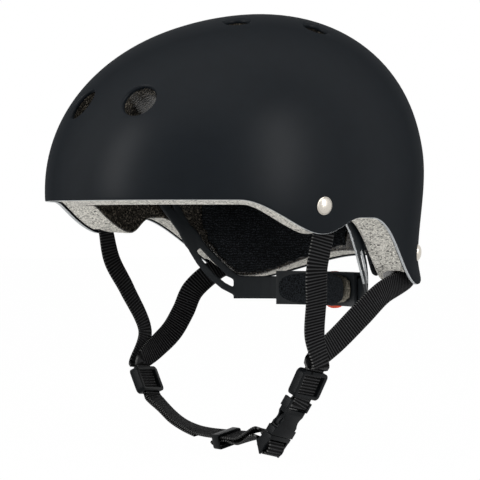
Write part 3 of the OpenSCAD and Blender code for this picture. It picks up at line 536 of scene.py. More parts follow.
def shell_abs():
    """Injection-moulded ABS with a satin lacquer: near-black, with broad soft highlights that
    go dull where the face turns away."""
    made = moulded("satin_abs", the_colours().shell, 0.4, 0.8, 0.012, 0.09)
    tree = made.node_tree
    facing = add(tree, "ShaderNodeLayerWeight").outputs["Facing"]
    give(tree.nodes["Principled BSDF"], {
        "Roughness": add(tree, "ShaderNodeValToRGB", {"Fac": facing}, stops=[
            (0.3, 0.4), (0.68, 0.95)])})
    return made


def shell_trim():
    """The shell's trimmed edge, where the cutter left the plastic pale and a little rough."""
    return moulded("trimmed_abs_edge", the_colours().shell_edge, 0.4, 1.2, 0.03)


def bead_foam(name, light, roughness, gloss, *greys):
    """Expanded polystyrene: fused beads a millimetre wide, each its own grey, with darker
    seams."""
    made, tree, shader = new_finish(name, light, roughness, gloss)
    place = spread(tree, 1)
    beads = add(tree, "ShaderNodeTexVoronoi", place)
    edges = add(tree, "ShaderNodeTexVoronoi", place, feature="DISTANCE_TO_EDGE")
    seam = add(tree, "ShaderNodeValToRGB", {"Fac": edges}, stops=[(0, 0), (0.1, 1)])
    kind = add(tree, "ShaderNodeSeparateColor", {"Color": beads.outputs["Color"]})
    bead = add(tree, "ShaderNodeValToRGB", {"Fac": kind}, stops=[
        (share, scaled(light, k)) for share, k in greys])
    give(shader, {
        "Base Color": add(tree, "ShaderNodeMix", {0: seam, MIX_LOW: scaled(light, 0.55),
                                                  MIX_HIGH: bead}, data_type="RGBA"),
        "Normal": add(tree, "ShaderNodeBump", {"Height": beads, "Distance": -0.2 * MM,
                                               "Strength": 0.6})})
    return made


def cut_foam():
    """The liner's rim, where the beads are cut through: the foam's own pale colour, without
    painted shade.
    """
    return bead_foam("cut_foam", the_colours().foam, 0.72, 0.2,
                     (0.0, 0.04), (0.05, 0.1), (0.14, 0.5), (0.5, 0.88), (1.0, 1.2))


def foam_skin():
    """The liner's moulded faces and channels: the same beads, darkened as painted shade, with pale
    ones.
    """
    return bead_foam("foam_skin", the_colours().foam_skin, 0.24, 0.9,
                     (0.0, 0.06), (0.5, 0.2), (0.8, 0.8), (1.0, 2.4))


def knit_cover():
    """Brushed knit over foam: broken wavy courses 1.6 mm apart under a short nap."""
    knit = the_colours().knit
    made, tree, shader = new_finish("brushed_knit", knit, 0.88, 0.08)
    courses = add(tree, "ShaderNodeTexWave", spread(tree, 1.6 * WAVE_BANDS, **{
        "Distortion": 7, "Detail": 2, "Detail Scale": 2.2}), bands_direction="Z")
    fluff = add(tree, "ShaderNodeTexNoise", spread(tree, 0.7, Detail=3))
    nap = add(tree, "ShaderNodeValToRGB", {"Fac": fluff}, stops=[
        (0.44, scaled(knit, 0.4)), (0.64, scaled(knit, 6))])
    ridges = add(tree, "ShaderNodeBump", {"Height": courses, "Distance": 0.3 * MM,
                                          "Strength": 0.8})
    give(shader, {
        "Base Color": add(tree, "ShaderNodeMix", {0: courses, MIX_LOW: scaled(knit, 0.5),
                                                  MIX_HIGH: nap}, data_type="RGBA"),
        "Normal": add(tree, "ShaderNodeBump", {"Height": fluff, "Distance": 0.12 * MM,
                                               "Normal": ridges})})
    return made


def looped_fabric():
    """Black loop fabric on the cradle: short dense pile that scatters light at its rim."""
    knit = the_colours().knit
    return patterned("loop_pile", knit, 0.95, 0.08, "ShaderNodeTexNoise",
                     {"width_mm": 0.6, "Detail": 4, "Distortion": 0.6},
                     [(0.4, scaled(knit, 0.4)), (0.66, scaled(knit, 5))], 0.35)


def open_foam():
    """Open-cell foam, cut: grey-beige, with pores about a millimetre apart that go dark."""
    beige = the_colours().cushion
    return patterned("open_cell_foam", beige, 0.95, 0.5, "ShaderNodeTexVoronoi",
                     {"width_mm": 1.1}, [(0.1, scaled(beige, 0.25)), (0.55, scaled(beige, 1.25))],
                     0.3)


def hook_tape():
    """Woven hook tape: dark, with hooks a millimetre apart."""
    return patterned("hook_tape", linear("#151517"), 0.8, 0.5, "ShaderNodeTexVoronoi",
                     {"width_mm": 1}, [(0.1, linear("#2c2c30")), (0.5, linear("#0c0c0d"))], -0.4)


def ribbed_webbing():
    """Woven polyester: the ribs are in the mesh, with painted shade between them and a painted
    highlight on their crests; threads 0.55 mm apart show on them, and the selvedge has a painted
    highlight dash at each turn of the weft."""
    colours, s = the_colours(), the_sizes()
    made, tree, shader = new_finish("ribbed_webbing", colours.webbing, 0.55, 0.04)
    axes = add(tree, "ShaderNodeSeparateXYZ", {
        "Vector": add(tree, "ShaderNodeUVMap", uv_map="webbing")})

    def wave(value, pitch_mm, shift=0.0):
        turn = add(tree, "ShaderNodeMath", {0: value, 1: 2 * math.pi / pitch_mm, 2: shift},
                   operation="MULTIPLY_ADD")
        return add(tree, "ShaderNodeMath", {0: turn}, operation="SINE")
    rib = add(tree, "ShaderNodeMapRange", {"Value": wave(axes, s.rib_pitch, math.pi / 2),
                                           "From Min": -0.1})
    out = add(tree, "ShaderNodeMath", {0: axes.outputs["Y"]}, operation="ABSOLUTE")
    edge = s.web_width / 2
    # Mask for the painted highlight dashes along the webbing's edges
    selvedge = add(tree, "ShaderNodeMapRange", {"Value": out, "From Min": edge - 0.9,
                                                "From Max": edge - 0.4})
    # Random patches where the painted highlight on the rib crests is brighter
    brighter_highlight_patches = add(tree, "ShaderNodeTexNoise", spread(tree, 7, Detail=3))
    rib_highlight = colours.rib_crest_highlight
    for factor, high in ((brighter_highlight_patches, scaled(rib_highlight, 1.7)), (selvedge, colours.selvedge)):
        rib_highlight = add(tree, "ShaderNodeMix", {0: factor, MIX_LOW: rib_highlight, MIX_HIGH: high},
                   data_type="RGBA")
    # Painted shade in the hollows between the ribs, painted highlight on their crests
    give(shader, {
        "Base Color": add(tree, "ShaderNodeMix", {0: rib, MIX_LOW: scaled(colours.webbing, 0.3),
                                                  MIX_HIGH: rib_highlight}, data_type="RGBA"),
        "Normal": add(tree, "ShaderNodeBump", {"Height": wave(axes.outputs["Y"], 0.55),
                                               "Distance": 0.05 * MM, "Strength": 0.9})})
    return made


def sewing_thread():
    """Bonded polyester thread, a little brighter than the webbing it holds."""
    return moulded("bonded_thread", linear("#3b3b3d"), 0.5, 0.3, 0.03)


def moulded_acetal():
    """Injection-moulded acetal: black, waxy and smooth, so its edges catch the light."""
    return moulded("moulded_acetal", the_colours().acetal, 0.36, 0.4, 0.006, 0.07)


def band_nylon():
    """Moulded nylon of the fit band: slate, matte and slightly translucent to the eye."""
    return moulded("moulded_nylon", the_colours().band, 0.46, 0.5, 0.01, 0.2)


def parted_nylon():
    """The fit band's front edge, pale grey as a painted highlight."""
    return moulded("parted_nylon", the_colours().band_edge_highlight, 0.4, 0.5, 0.01)


def drum_nylon():
    """Moulded nylon of the dial's drum, greyer than the band."""
    return moulded("drum_nylon", the_colours().dial_knob, 0.5, 0.5, 0.012)


def soft_ring():
    """Over-moulded thermoplastic rubber of the dial's ring: orange-red and softly matte."""
    return moulded("soft_touch_rubber", the_colours().dial_ring, 0.48, 0.4, 0.02)


def plated_steel(name, colour, roughness):
    """Plated steel: bright, with hairline marks from tumbling."""
    if name in bpy.data.materials:
        return bpy.data.materials[name]
    made, tree, shader = new_finish(name, colour, roughness, metallic=1)
    marks = add(tree, "ShaderNodeTexNoise", spread(tree, 0.4, Detail=4, Distortion=1.5))
    give(shader, {
        "Roughness": add(tree, "ShaderNodeValToRGB", {"Fac": marks}, stops=[
            (0.3, roughness - 0.08), (0.7, roughness + 0.12)]),
        "Normal": add(tree, "ShaderNodeBump", {"Height": marks, "Distance": 0.008 * MM})})
    return made


def satin_plate():
    """The rivets' plating, warm and satin."""
    return plated_steel("satin_plated_steel", the_colours().rivet, 0.3)


def zinc_plate():
    """The bluish zinc of the washers and the screw."""
    return plated_steel("zinc_plated_steel", linear("#9a9c9e"), 0.38)


# Webbing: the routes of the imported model, in millimetres

class Hung:
    """The frame of a piece that hangs on the webbing: +X outward, +Y rearward, +Z up it."""

    def __init__(self, at, lean, twist, yaw=0.0, mirrored=False):
        turn = (Matrix.Rotation(math.radians(yaw), 3, "Z")
                @ Matrix.Rotation(math.radians(lean), 3, "Y")
                @ Matrix.Rotation(math.radians(twist), 3, "X"))
        self.turn = np.array(turn)
        self.at = np.array(at)
        self.side = -1 if mirrored else 1

    def point(self, x, y, z):
        return self.at + self.turn @ np.array([self.side * x, y, z])

    def along(self):
        return self.turn @ np.array([0.0, 1.0, 0.0])


BAND_AXIS_Y = 9.4
LEFT_FRAME = Hung((76, -13.4, -110.2), 22, -11)
RIGHT_FRAME = Hung((-76, -3.8, -116.3), -26, -4, 15, True)
BUCKLE_FRAME = Hung((71.3, -16.3, -119.6), 27, -14)
SLEEVE_TOP = 8.6
SLEEVE_RUN = [(SLEEVE_TOP + 5, 2.1), (SLEEVE_TOP + 2.2, 0.35), (SLEEVE_TOP, 0),
              (SLEEVE_TOP - 5, 0), (-SLEEVE_TOP - 0.3, 0)]
LEFT_FRONT_FREE = [((94.5, -25.6, -40.8), (0.24, 0.97, 0)), ((90, -21.3, -59.7), (0.18, 0.98, 0)),
                   ((83.6, -15.8, -81), (0.14, 0.985, -0.06))]
LEFT_REAR_FREE = [((78, 10.9, -84), (0.25, 0.62, -0.74)),
                  ((78.5, 32.2, -69.6), (0.35, 0.5, -0.78)),
                  ((77.5, 54.2, -56.7), (0.1, 0.5, -0.8))]
RIGHT_FRONT_FREE = [((-94, -17.9, -38.4), (-0.05, 0.99, 0)),
                    ((-91, -7.1, -58.1), (-0.12, 0.99, 0)),
                    ((-86.5, 4.3, -84.5), (-0.24, 0.97, 0))]
RIGHT_REAR_FREE = [((-86.5, 48.4, -58.6), (0.6, 0.6, -0.5)),
                   ((-86, 38.4, -73), (0.57, 0.63, -0.48)),
                   ((-84.5, 26.8, -85.5), (0.45, 0.72, -0.5)),
                   ((-82.4, 12, -94.8), (0.08, 0.95, -0.3))]
FRONT_STEPS = [(0, -9), (0, 0), (0, 7), (0, 14)]
LEFT_REAR_STEPS = [(5, -6), (0, 0), (-1, 7), (-4, 12)]
RIGHT_REAR_STEPS = [(6, -3), (0, 0), (-8, 3), (-16, 5)]
CHIN_ROUTE = [((-67.6, -3.5, -127.8), (0, 0.99, -0.13)), ((-55.2, -5, -134.2), (0, 0.97, -0.22)),
              ((-43.3, -6.6, -139.6), (0, 0.99, -0.12)), ((-29.9, -8.5, -143), (0, 1, 0)),
              ((-16.8, -10.4, -144.8), (0, 0.985, 0.15)),
              ((-3.3, -12.2, -145.2), (0, 0.975, 0.22)), ((12.9, -14.3, -144.8), (0, 0.975, 0.22)),
              ((26, -16, -144), (0, 0.975, 0.22))]
PLUG_TOP = -25.1
LOCK_ROUTE = [(-12, PLUG_TOP - 3.2), (-5, PLUG_TOP - 3.9), (0, PLUG_TOP - 4.2),
              (3, PLUG_TOP - 6.2), (3.6, PLUG_TOP - 9.6), (2, PLUG_TOP - 12.2),
              (-1, PLUG_TOP - 12.4), (-5, PLUG_TOP - 9.8), (-10, PLUG_TOP - 7.6)]
FOLD = [(4, -13.2, -148), (0.8, -12.8, -148.9), (4, -13.2, -149.9), (12, -14.2, -149.9)]
SOCKET_BAR_Z = -3.4
BAR_RADIUS = 1.2
BAR_GAP = 0.35
SLEEVE_GAP = 0.32
LAYER_GAP = 0.4
ROUTE_STEPS = 24
RIB_DEPTH = 0.24
RIB_REACH = 0.85
SELVEDGE_DIP = 0.35


def dome_stations(side, spot, steps, towards):
    """Webbing lying flat under the shell, at steps of plan and polar angle from a rivet."""
    dome = the_dome()
    s = dome.sizes
    depth = s.wall + s.web_gap + s.web_thick / 2
    found = []
    for d_phi, d_t in steps:
        phi, t = spot[0] + d_phi, rivet_polar(dome, spot) + d_t
        here = dome.point(side * phi, t, depth)
        there = dome.point(side * (phi + towards[0]), t + towards[1], depth)
        found.append((here, side * np.cross(dome.normal(side * phi, t), there - here)))
    return found


def chin_layer(k, layers):
    """The chin route moved outward by layers, square to its own face."""
    stack = the_sizes().web_thick + LAYER_GAP
    a, b = CHIN_ROUTE[max(0, k - 1)][0], CHIN_ROUTE[min(len(CHIN_ROUTE) - 1, k + 1)][0]
    here, across = CHIN_ROUTE[k]
    return here - layers * stack * unit(np.cross(np.subtract(b, a), across)), across


def sleeve(frame, side, reverse=False):
    """The webbing's way through a slider, on the bar's outer or inner side."""
    layer = the_sizes().web_thick / 2 + SLEEVE_GAP
    run = [(frame.point(side * (layer + part), 0, z), frame.along()) for z, part in SLEEVE_RUN]
    return run[::-1] if reverse else run


def left_route():
    turn_r = BAR_RADIUS + BAR_GAP + the_sizes().web_thick / 2
    round_bar = [(BUCKLE_FRAME.point(turn_r * math.cos(a), 0, SOCKET_BAR_Z - turn_r * math.sin(a)),
                  BUCKLE_FRAME.along()) for a in np.radians([0, 45, 90, 135, 180])]
    rear = dome_stations(1, REAR_RIVET, LEFT_REAR_STEPS, (-1, 1))
    return (dome_stations(1, SIDE_RIVET, FRONT_STEPS, (0, 1))
            + LEFT_FRONT_FREE + sleeve(LEFT_FRAME, 1) + round_bar
            + sleeve(LEFT_FRAME, -1, True) + LEFT_REAR_FREE + rear[::-1])


def right_front_route():
    return (dome_stations(-1, SIDE_RIVET, FRONT_STEPS, (0, 1))
            + RIGHT_FRONT_FREE + sleeve(RIGHT_FRAME, 1) + [chin_layer(k, 1) for k in range(5)])


def right_rear_route():
    return (dome_stations(-1, REAR_RIVET, RIGHT_REAR_STEPS, (-1, 1))
            + RIGHT_REAR_FREE + sleeve(RIGHT_FRAME, -1) + CHIN_ROUTE
            + [(BUCKLE_FRAME.point(x, 0, z), BUCKLE_FRAME.along()) for x, z in LOCK_ROUTE]
            + [chin_layer(7, 2), chin_layer(6, 1)] + [(p, CHIN_ROUTE[6][1]) for p in FOLD])


def smoothed(values, steps):
    """A smooth line through values, with this many steps between two of them."""
    v = np.asarray(values, float)
    padded = np.concatenate([v[:1], v, v[-1:]])
    u = (np.arange(steps) / steps)[:, None]
    runs = []
    for a, b, c, d in zip(padded, padded[1:], padded[2:], padded[3:]):
        runs.append(0.5 * (2 * b + (c - a) * u + (2 * a - 5 * b + 4 * c - d) * u * u
                           + (3 * b - a - 3 * c + d) * u ** 3))
    return np.concatenate(runs + [v[-1:]])


def webbing(name, route, material):
    """A ribbed strip along a route of (point, width direction), with rolled selvedges."""
    s = the_sizes()
    points = smoothed([p for p, _ in route], ROUTE_STEPS)
    widths = smoothed([unit(np.asarray(w)) for _, w in route], ROUTE_STEPS)
    length = np.concatenate([[0], np.cumsum(np.linalg.norm(np.diff(points, axis=0), axis=1))])
    even = np.linspace(0, length[-1], int(length[-1] / (s.rib_pitch / 4)))
    points, widths = (np.stack([np.interp(even, length, column) for column in rows.T], -1)
                      for rows in (points, widths))
    along = unit(np.gradient(points, axis=0))
    across = unit(widths - (widths * along).sum(1, keepdims=True) * along)
    up = np.cross(along, across)
    half, thick = s.web_width / 2, s.web_thick / 2
    side = np.array([-0.93, -0.8, -0.5, 0, 0.5, 0.8, 0.93])
    place = np.concatenate([side * half, [half], side[::-1] * half, [-half]])
    flat = np.full(len(side), thick)
    level = np.concatenate([flat, [0], -flat, [0]])
    rib = 0.5 + 0.5 * np.cos(2 * math.pi * even / s.rib_pitch)
    share = np.where(np.abs(place) < RIB_REACH * half, 1, SELVEDGE_DIP)
    dip = RIB_DEPTH * (1 - rib)[:, None] * share[None, :]
    lift = level[None, :] - np.sign(level)[None, :] * dip
    rings = (points[:, None, :] + across[:, None, :] * place[None, :, None]
             + up[:, None, :] * lift[:, :, None])
    made = ringed(name, list(rings), [points[0], points[-1]], [material])
    coords = made.data.uv_layers.new(name="webbing")
    count = len(place)
    for face in made.data.polygons:
        for loop, vertex in zip(face.loop_indices, face.vertices):
            row = min(vertex // count, len(even) - 1)
            coords.data[loop].uv = (even[row], place[vertex % count])
    set_normals(made, 60)
    return made


# Soft pieces

CLOTH_PRESSURE = 4.0
CLOTH_FRAMES = 20
HEAD_MIDDLE = (0, 0, 0.01)
FACES_SHELL = 0.2


def per_vertex(mesh, what):
    """A row of three numbers for each vertex."""
    flat = np.zeros(len(mesh.vertices) * 3)
    mesh.vertices.foreach_get(what, flat)
    return flat.reshape(-1, 3)


def add_voxels(obj, width_mm):
    """Adds a voxel remesh."""
    step = obj.modifiers.new("remesh", "REMESH")
    step.mode = "VOXEL"
    step.voxel_size = width_mm * MM


def swollen(name, node, material, voxel_mm, cap_mm, shrink_mm=0.8):
    """A cushion blown up from its CAD form by a short cloth simulation, but never towards
    what it lies on."""
    made = copy_of(node, name, material)
    add_voxels(made, voxel_mm)
    apply_modifiers(made)
    set_normals(made, 180)
    rest, outward = per_vertex(made.data, "co"), per_vertex(made.data, "normal")
    made.data.vertices.foreach_set("co", (rest - outward * shrink_mm * MM).ravel())
    cloth = made.modifiers.new("cloth", "CLOTH")
    cloth.settings.use_pressure = True
    cloth.settings.uniform_pressure_force = CLOTH_PRESSURE
    cloth.settings.effector_weights.gravity = 0
    cloth.settings.quality = 4
    scene = bpy.context.scene
    for moment in range(1, CLOTH_FRAMES + 1):
        scene.frame_set(moment)
    apply_modifiers(made)
    scene.frame_set(1)
    move = per_vertex(made.data, "co") - rest
    far = np.linalg.norm(move, axis=1, keepdims=True)
    move *= np.minimum(1, cap_mm * MM / np.maximum(far, 1e-9))
    away = unit(rest - np.array(HEAD_MIDDLE))
    toward = np.maximum(0, (move * away).sum(1, keepdims=True))
    behind = (outward * away).sum(1, keepdims=True) > FACES_SHELL
    move -= np.where(behind, toward, 0) * away
    made.data.vertices.foreach_set("co", (rest + move).ravel())
    finer = made.modifiers.new("finer", "SUBSURF")
    finer.levels = finer.render_levels = 1
    apply_modifiers(made)
    set_normals(made, 180)
    return made


# Moulded pieces: the CAD form with its edges rounded

WELD_MM = 0.004
FLAT_ANGLE = math.radians(0.5)
MELT_VOXEL = 0.5
MELT_PASSES = 6


def softened(name, node, material, edge_mm, angle=32):
    """A copy of a CAD node with its faces joined and its edges rounded."""
    made = copy_of(node, name, material)
    with reworked(made) as work:
        bmesh.ops.remove_doubles(work, verts=work.verts, dist=WELD_MM * MM)
        bmesh.ops.dissolve_limit(work, angle_limit=FLAT_ANGLE, verts=work.verts,
                                 edges=work.edges)
    step = made.modifiers.new("edges", "BEVEL")
    step.width = edge_mm * MM
    step.segments = 3
    step.angle_limit = math.radians(angle)
    apply_modifiers(made)
    crisp(made.data, angle)
    return made


def remelted(name, node, material):
    """A thin CAD form remeshed finely and relaxed, so that its facets and edges melt."""
    made = copy_of(node, name, material)
    add_voxels(made, MELT_VOXEL)
    relax = made.modifiers.new("relax", "SMOOTH")
    relax.iterations = MELT_PASSES
    apply_modifiers(made)
    set_normals(made, 180)
    return made


# Pieces that repeat: small Geometry Nodes trees, grown into plain meshes

def tree_with(name, **inputs):
    """A geometry tree with named sizes as inputs; returns it and its input node."""
    tree = bpy.data.node_groups.new(name, "GeometryNodeTree")
    tree.interface.new_socket("Geometry", in_out="INPUT", socket_type="NodeSocketGeometry")
    for label, value in inputs.items():
        socket = tree.interface.new_socket(label, in_out="INPUT", socket_type="NodeSocketFloat")
        socket.default_value = value
    tree.interface.new_socket("Geometry", in_out="OUTPUT", socket_type="NodeSocketGeometry")
    return tree, add(tree, "NodeGroupInput")


def end_tree(tree, points, piece, along, axis, material):
    """Stands a piece on each point with its axis along a vector, makes the instances real and
    gives them their finish."""
    facing = add(tree, "FunctionNodeAlignRotationToVector", {"Vector": along}, axis=axis)
    stood = add(tree, "GeometryNodeInstanceOnPoints", {"Points": points, "Instance": piece,
                                                       "Rotation": facing})
    real = add(tree, "GeometryNodeRealizeInstances", {"Geometry": stood})
    done = add(tree, "GeometryNodeSetMaterial", {"Geometry": real, "Material": material})
    add(tree, "NodeGroupOutput", {"Geometry": done})
    return tree


def grow(obj, tree, **values):
    """Runs a tree on an object with its inputs set, and keeps the result as a plain mesh."""
    step = obj.modifiers.new("grow", "NODES")
    step.node_group = tree
    for item in tree.interface.items_tree:
        if item.in_out == "INPUT" and item.name in values:
            step[item.identifier] = values[item.name]
    apply_modifiers(obj)


def rivet_tree(material):
    """A domed cap with a rolled rim on each point, facing along the point's outward vector."""
    tree, enter = tree_with("rivet_heads", Cap=0.01, Dome=0.0024, Rim=0.0004)
    radius = add(tree, "ShaderNodeMath", {0: enter.outputs["Cap"], 1: 0.5},
                 operation="MULTIPLY")
    ball = add(tree, "GeometryNodeMeshUVSphere", {"Segments": 48, "Rings": 24, "Radius": radius})
    upper = add(tree, "ShaderNodeVectorMath", {0: add(tree, "GeometryNodeInputPosition"),
                                               1: (-1, -1, 0)}, operation="MAXIMUM")
    rise = add(tree, "ShaderNodeMath", {0: enter.outputs["Dome"], 1: radius},
               operation="DIVIDE")
    squeeze = add(tree, "ShaderNodeCombineXYZ", {"X": 1, "Y": 1, "Z": rise})
    low = add(tree, "ShaderNodeVectorMath", {0: upper, 1: squeeze}, operation="MULTIPLY")
    cap = add(tree, "GeometryNodeSetPosition", {"Geometry": ball, "Position": low})
    ring = add(tree, "GeometryNodeCurvePrimitiveCircle", {"Resolution": 48, "Radius": radius})
    bead = add(tree, "GeometryNodeCurvePrimitiveCircle", {"Resolution": 10,
                                                          "Radius": enter.outputs["Rim"]})
    rim = add(tree, "GeometryNodeCurveToMesh", {"Curve": ring, "Profile Curve": bead})
    head = add(tree, "GeometryNodeJoinGeometry")
    for part in (cap, rim):
        give(head, {0: part})
    out = add(tree, "GeometryNodeInputNamedAttribute", {"Name": "outward"},
              data_type="FLOAT_VECTOR")
    return end_tree(tree, enter, head, out, "Z", material)


def stitch_tree(material):
    """Thread stitches along the edges that come in: one flat bead a stitch."""
    tree, enter = tree_with("stitches", Pitch=0.0026, Thread=0.00045)
    line = add(tree, "GeometryNodeMeshToCurve", {"Mesh": enter})
    even = add(tree, "GeometryNodeResampleCurve", {"Curve": line,
                                                   "Length": enter.outputs["Pitch"]},
               mode="LENGTH")
    bead = add(tree, "GeometryNodeMeshUVSphere", {"Segments": 10, "Rings": 6,
                                                  "Radius": enter.outputs["Thread"]})
    longer = add(tree, "GeometryNodeTransform", {"Geometry": bead, "Scale": (2.4, 0.8, 0.7)})
    return end_tree(tree, even, longer, add(tree, "GeometryNodeInputTangent"), "X", material)


# Operators: one for each group of pieces

SHELL_CORNER = 0.42
LINER_CORNER = 1.6
LINER_EDGE_DROP = 1.2
CHANNEL_GAP = 0.4
POCKET_SIDE = 3
POCKET_DEPTH = 3.4


class HELMET_OT_shell(bpy.types.Operator):
    """Makes the outer shell with its rolled vents and trimmed edge."""
    bl_idname = "helmet.shell"
    bl_label = "Shell"

    def execute(self, context):
        s, dome = the_sizes(), the_dome()
        rim = dome.rim_height(SKIN_PLAN)
        shell = dome_skin("shell", 0, rim, rim, lambda phi, t: np.full(np.shape(phi), s.wall),
                          s.wall * SHELL_CORNER, [shell_abs(), shell_trim()])
        set_normals(shell)
        lip = s.vent_lip / 2
        for phi, t, bore in vents(s):
            start = bore / 2 + lip
            sag = start ** 2 / (2 * s.front)
            roll = [(start - lip * math.sin(a), -sag - lip * (1 - math.cos(a)))
                    for a in np.radians([0, 15, 30, 45, 60, 75, 90])]
            profile = [(start + 5, 9)] + roll + [(bore / 2, -12)]
            cut(shell, turned("vent", profile, dome.place(phi, t), 96))
        set_normals(shell, 40)
        finish(shell, "helmet", "shell", "outer_shell")
        return {"FINISHED"}


class HELMET_OT_liner(bpy.types.Operator):
    """Makes the foam liner with its vent channels and webbing pockets."""
    bl_idname = "helmet.liner"
    bl_label = "Foam liner"

    def execute(self, context):
        s, dome = the_sizes(), the_dome()
        # The inner faces and vent channels get the foam darkened as painted shade; the rim keeps
        # its own pale colour
        liner = dome_skin("liner", dome.liner_outer(),
                          dome.rim_height(SKIN_PLAN) + LINER_EDGE_DROP,
                          dome.liner_rim(SKIN_PLAN), dome.liner_inner, LINER_CORNER,
                          [foam_skin(), cut_foam()], edge_rings=8)
        set_normals(liner)
        for phi, t, bore in vents(s):
            radius = bore / 2 + CHANNEL_GAP
            profile = [(radius, 6), (radius, -s.liner_back - 18)]
            cut(liner, turned("channel", profile, dome.place(phi, t), 72))
        rear_steps = {1: [(9, -13), (0, 0), (-4, 13)], -1: [(9, -6), (0, 0), (-16, 5)]}
        exits = {1: (LEFT_FRONT_FREE[0][0], LEFT_REAR_FREE[2][0]),
                 -1: (RIGHT_FRONT_FREE[0][0], RIGHT_REAR_FREE[0][0])}
        for side in (1, -1):
            self.pocket(liner, side, SIDE_RIVET, [(0, -13), (0, 10), (0, 16)], exits[side][0])
            self.pocket(liner, side, REAR_RIVET, rear_steps[side], exits[side][1])
        set_normals(liner, 40)
        finish(liner, "helmet", "foam", "eps_liner")
        return {"FINISHED"}

    def pocket(self, liner, side, spot, steps, way_out):
        """Cuts the channel that a webbing end lies in, from disc to disc and out."""
        s, dome = the_sizes(), the_dome()
        radius = s.web_width / 2 + POCKET_SIDE
        deep = s.wall + s.web_gap + s.web_thick + POCKET_DEPTH
        a = np.radians(np.arange(0, 360, 12))
        circle = np.stack([radius * np.cos(a), radius * np.sin(a), 0 * a, 0 * a + 1], -1)
        discs = []
        for d_phi, d_t in steps:
            turn = np.array(dome.place(side * (spot[0] + d_phi),
                                       rivet_polar(dome, spot) + d_t))
            turn[:3, 3] /= MM
            for z in (-deep, 4):
                discs.append((circle + [0, 0, z, 0]) @ turn.T)
        for i in range(0, len(discs) - 2, 2):
            cut(liner, hull_of("pocket", np.concatenate(discs[i:i + 4])[:, :3]))
        b = np.radians(np.arange(-75, 90, 30))[:, None]
        ball = radius * np.stack([np.cos(b) * np.cos(a), np.cos(b) * np.sin(a),
                                  np.sin(b) + 0 * a], -1).reshape(-1, 3) + way_out
        cut(liner, hull_of("way out", np.concatenate([discs[-2][:, :3], discs[-1][:, :3], ball])))


class HELMET_OT_pads(bpy.types.Operator):
    """Blows up the comfort pads and finishes the hook dots behind them."""
    bl_idname = "helmet.pads"
    bl_label = "Comfort pads"

    def execute(self, context):
        knit = knit_cover()
        for node in ("front_pad", "crown_pad", "left_side_pad", "right_side_pad",
                     "left_rear_pad", "right_rear_pad"):
            finish(swollen(node + "_cover", node, knit, 2.7, 2.5), "helmet", "pad", node)
        finish(softened("hook_tape_dots", "hook_dots", hook_tape(), 0.2), "helmet", "hook",
               "hook_dots")
        return {"FINISHED"}


class HELMET_OT_rivets(bpy.types.Operator):
    """Makes the four rivet heads and finishes the washers behind them."""
    bl_idname = "helmet.rivets"
    bl_label = "Rivets"

    def execute(self, context):
        s, dome = the_sizes(), the_dome()
        spots = [(side * spot[0], rivet_polar(dome, spot)) for side in (1, -1)
                 for spot in (SIDE_RIVET, REAR_RIVET)]
        out = [dome.normal(phi, t) for phi, t in spots]
        seats = [dome.point(phi, t, 0) + 0.1 * n for (phi, t), n in zip(spots, out)]
        heads = new_object("rivet_heads", seats, [])
        marks = heads.data.attributes.new("outward", "FLOAT_VECTOR", "POINT")
        marks.data.foreach_set("vector", np.concatenate(out))
        grow(heads, rivet_tree(satin_plate()), Cap=s.rivet_cap * MM, Dome=s.rivet_dome * MM)
        smooth(heads.data)
        finish(heads, "helmet", "rivet", "left_side_rivet", "right_side_rivet", "left_rear_rivet",
               "right_rear_rivet")
        coat(CAD_NODES["rivet_washers"], zinc_plate())
        return {"FINISHED"}


SEAM_INSET = 2.2
SEAM_LAYERS = 1.52


class HELMET_OT_webbing(bpy.types.Operator):
    """Weaves the chin webbing along its routes, with the seam under the chin."""
    bl_idname = "helmet.webbing"
    bl_label = "Chin webbing"

    def execute(self, context):
        material = ribbed_webbing()
        left = webbing("left_webbing", left_route(), material)
        front = webbing("right_front_webbing", right_front_route(), material)
        rear = webbing("right_rear_webbing", right_rear_route(), material)
        finish(left, "helmet", "webbing", "left_strap")
        finish(front, "helmet", "webbing", "right_front_strap")
        finish(rear, None, "webbing", "right_rear_strap")
        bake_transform(rear)
        self.seam()
        return {"FINISHED"}

    def seam(self):
        """A stitched box where the front webbing ends on the rear one."""
        s = the_sizes()
        half = s.web_width / 2 - SEAM_INSET
        near, far = (smoothed([chin_layer(k, SEAM_LAYERS)[0] + side * half
                               * np.array(CHIN_ROUTE[k][1]) for k in (2, 3, 4)], 6)[:-2]
                     for side in (-1, 1))
        loop = np.concatenate([near, far[::-1]])
        seam = new_object("seam_stitches", loop, [],
                          edges=[(i, (i + 1) % len(loop)) for i in range(len(loop))])
        grow(seam, stitch_tree(sewing_thread()), Pitch=s.stitch_length * MM)
        finish(seam, "helmet", "webbing")


class HELMET_OT_hardware(bpy.types.Operator):
    """Finishes the sliders, the buckle and the keeper, with rounded edges."""
    bl_idname = "helmet.hardware"
    bl_label = "Sliders and buckle"

    def execute(self, context):
        black = moulded_acetal()
        pieces = {"left_slider": ("left_slider", 0.5), "right_slider": ("right_slider", 0.5),
                  "buckle_socket": ("helmet", 0.45), "buckle_plug": ("plug", 0.35),
                  "front_prong": ("front_prong", 0.25), "rear_prong": ("rear_prong", 0.25),
                  "strap_keeper": ("keeper", 0.35)}
        for node, (body, edge) in pieces.items():
            finish(softened(node + "_moulding", node, black, edge), body, "buckle", node)
        return {"FINISHED"}


LEG_FOOT = -52
LEG_TILT = 0.8
HIGHLIGHT_COSINE = 0.6


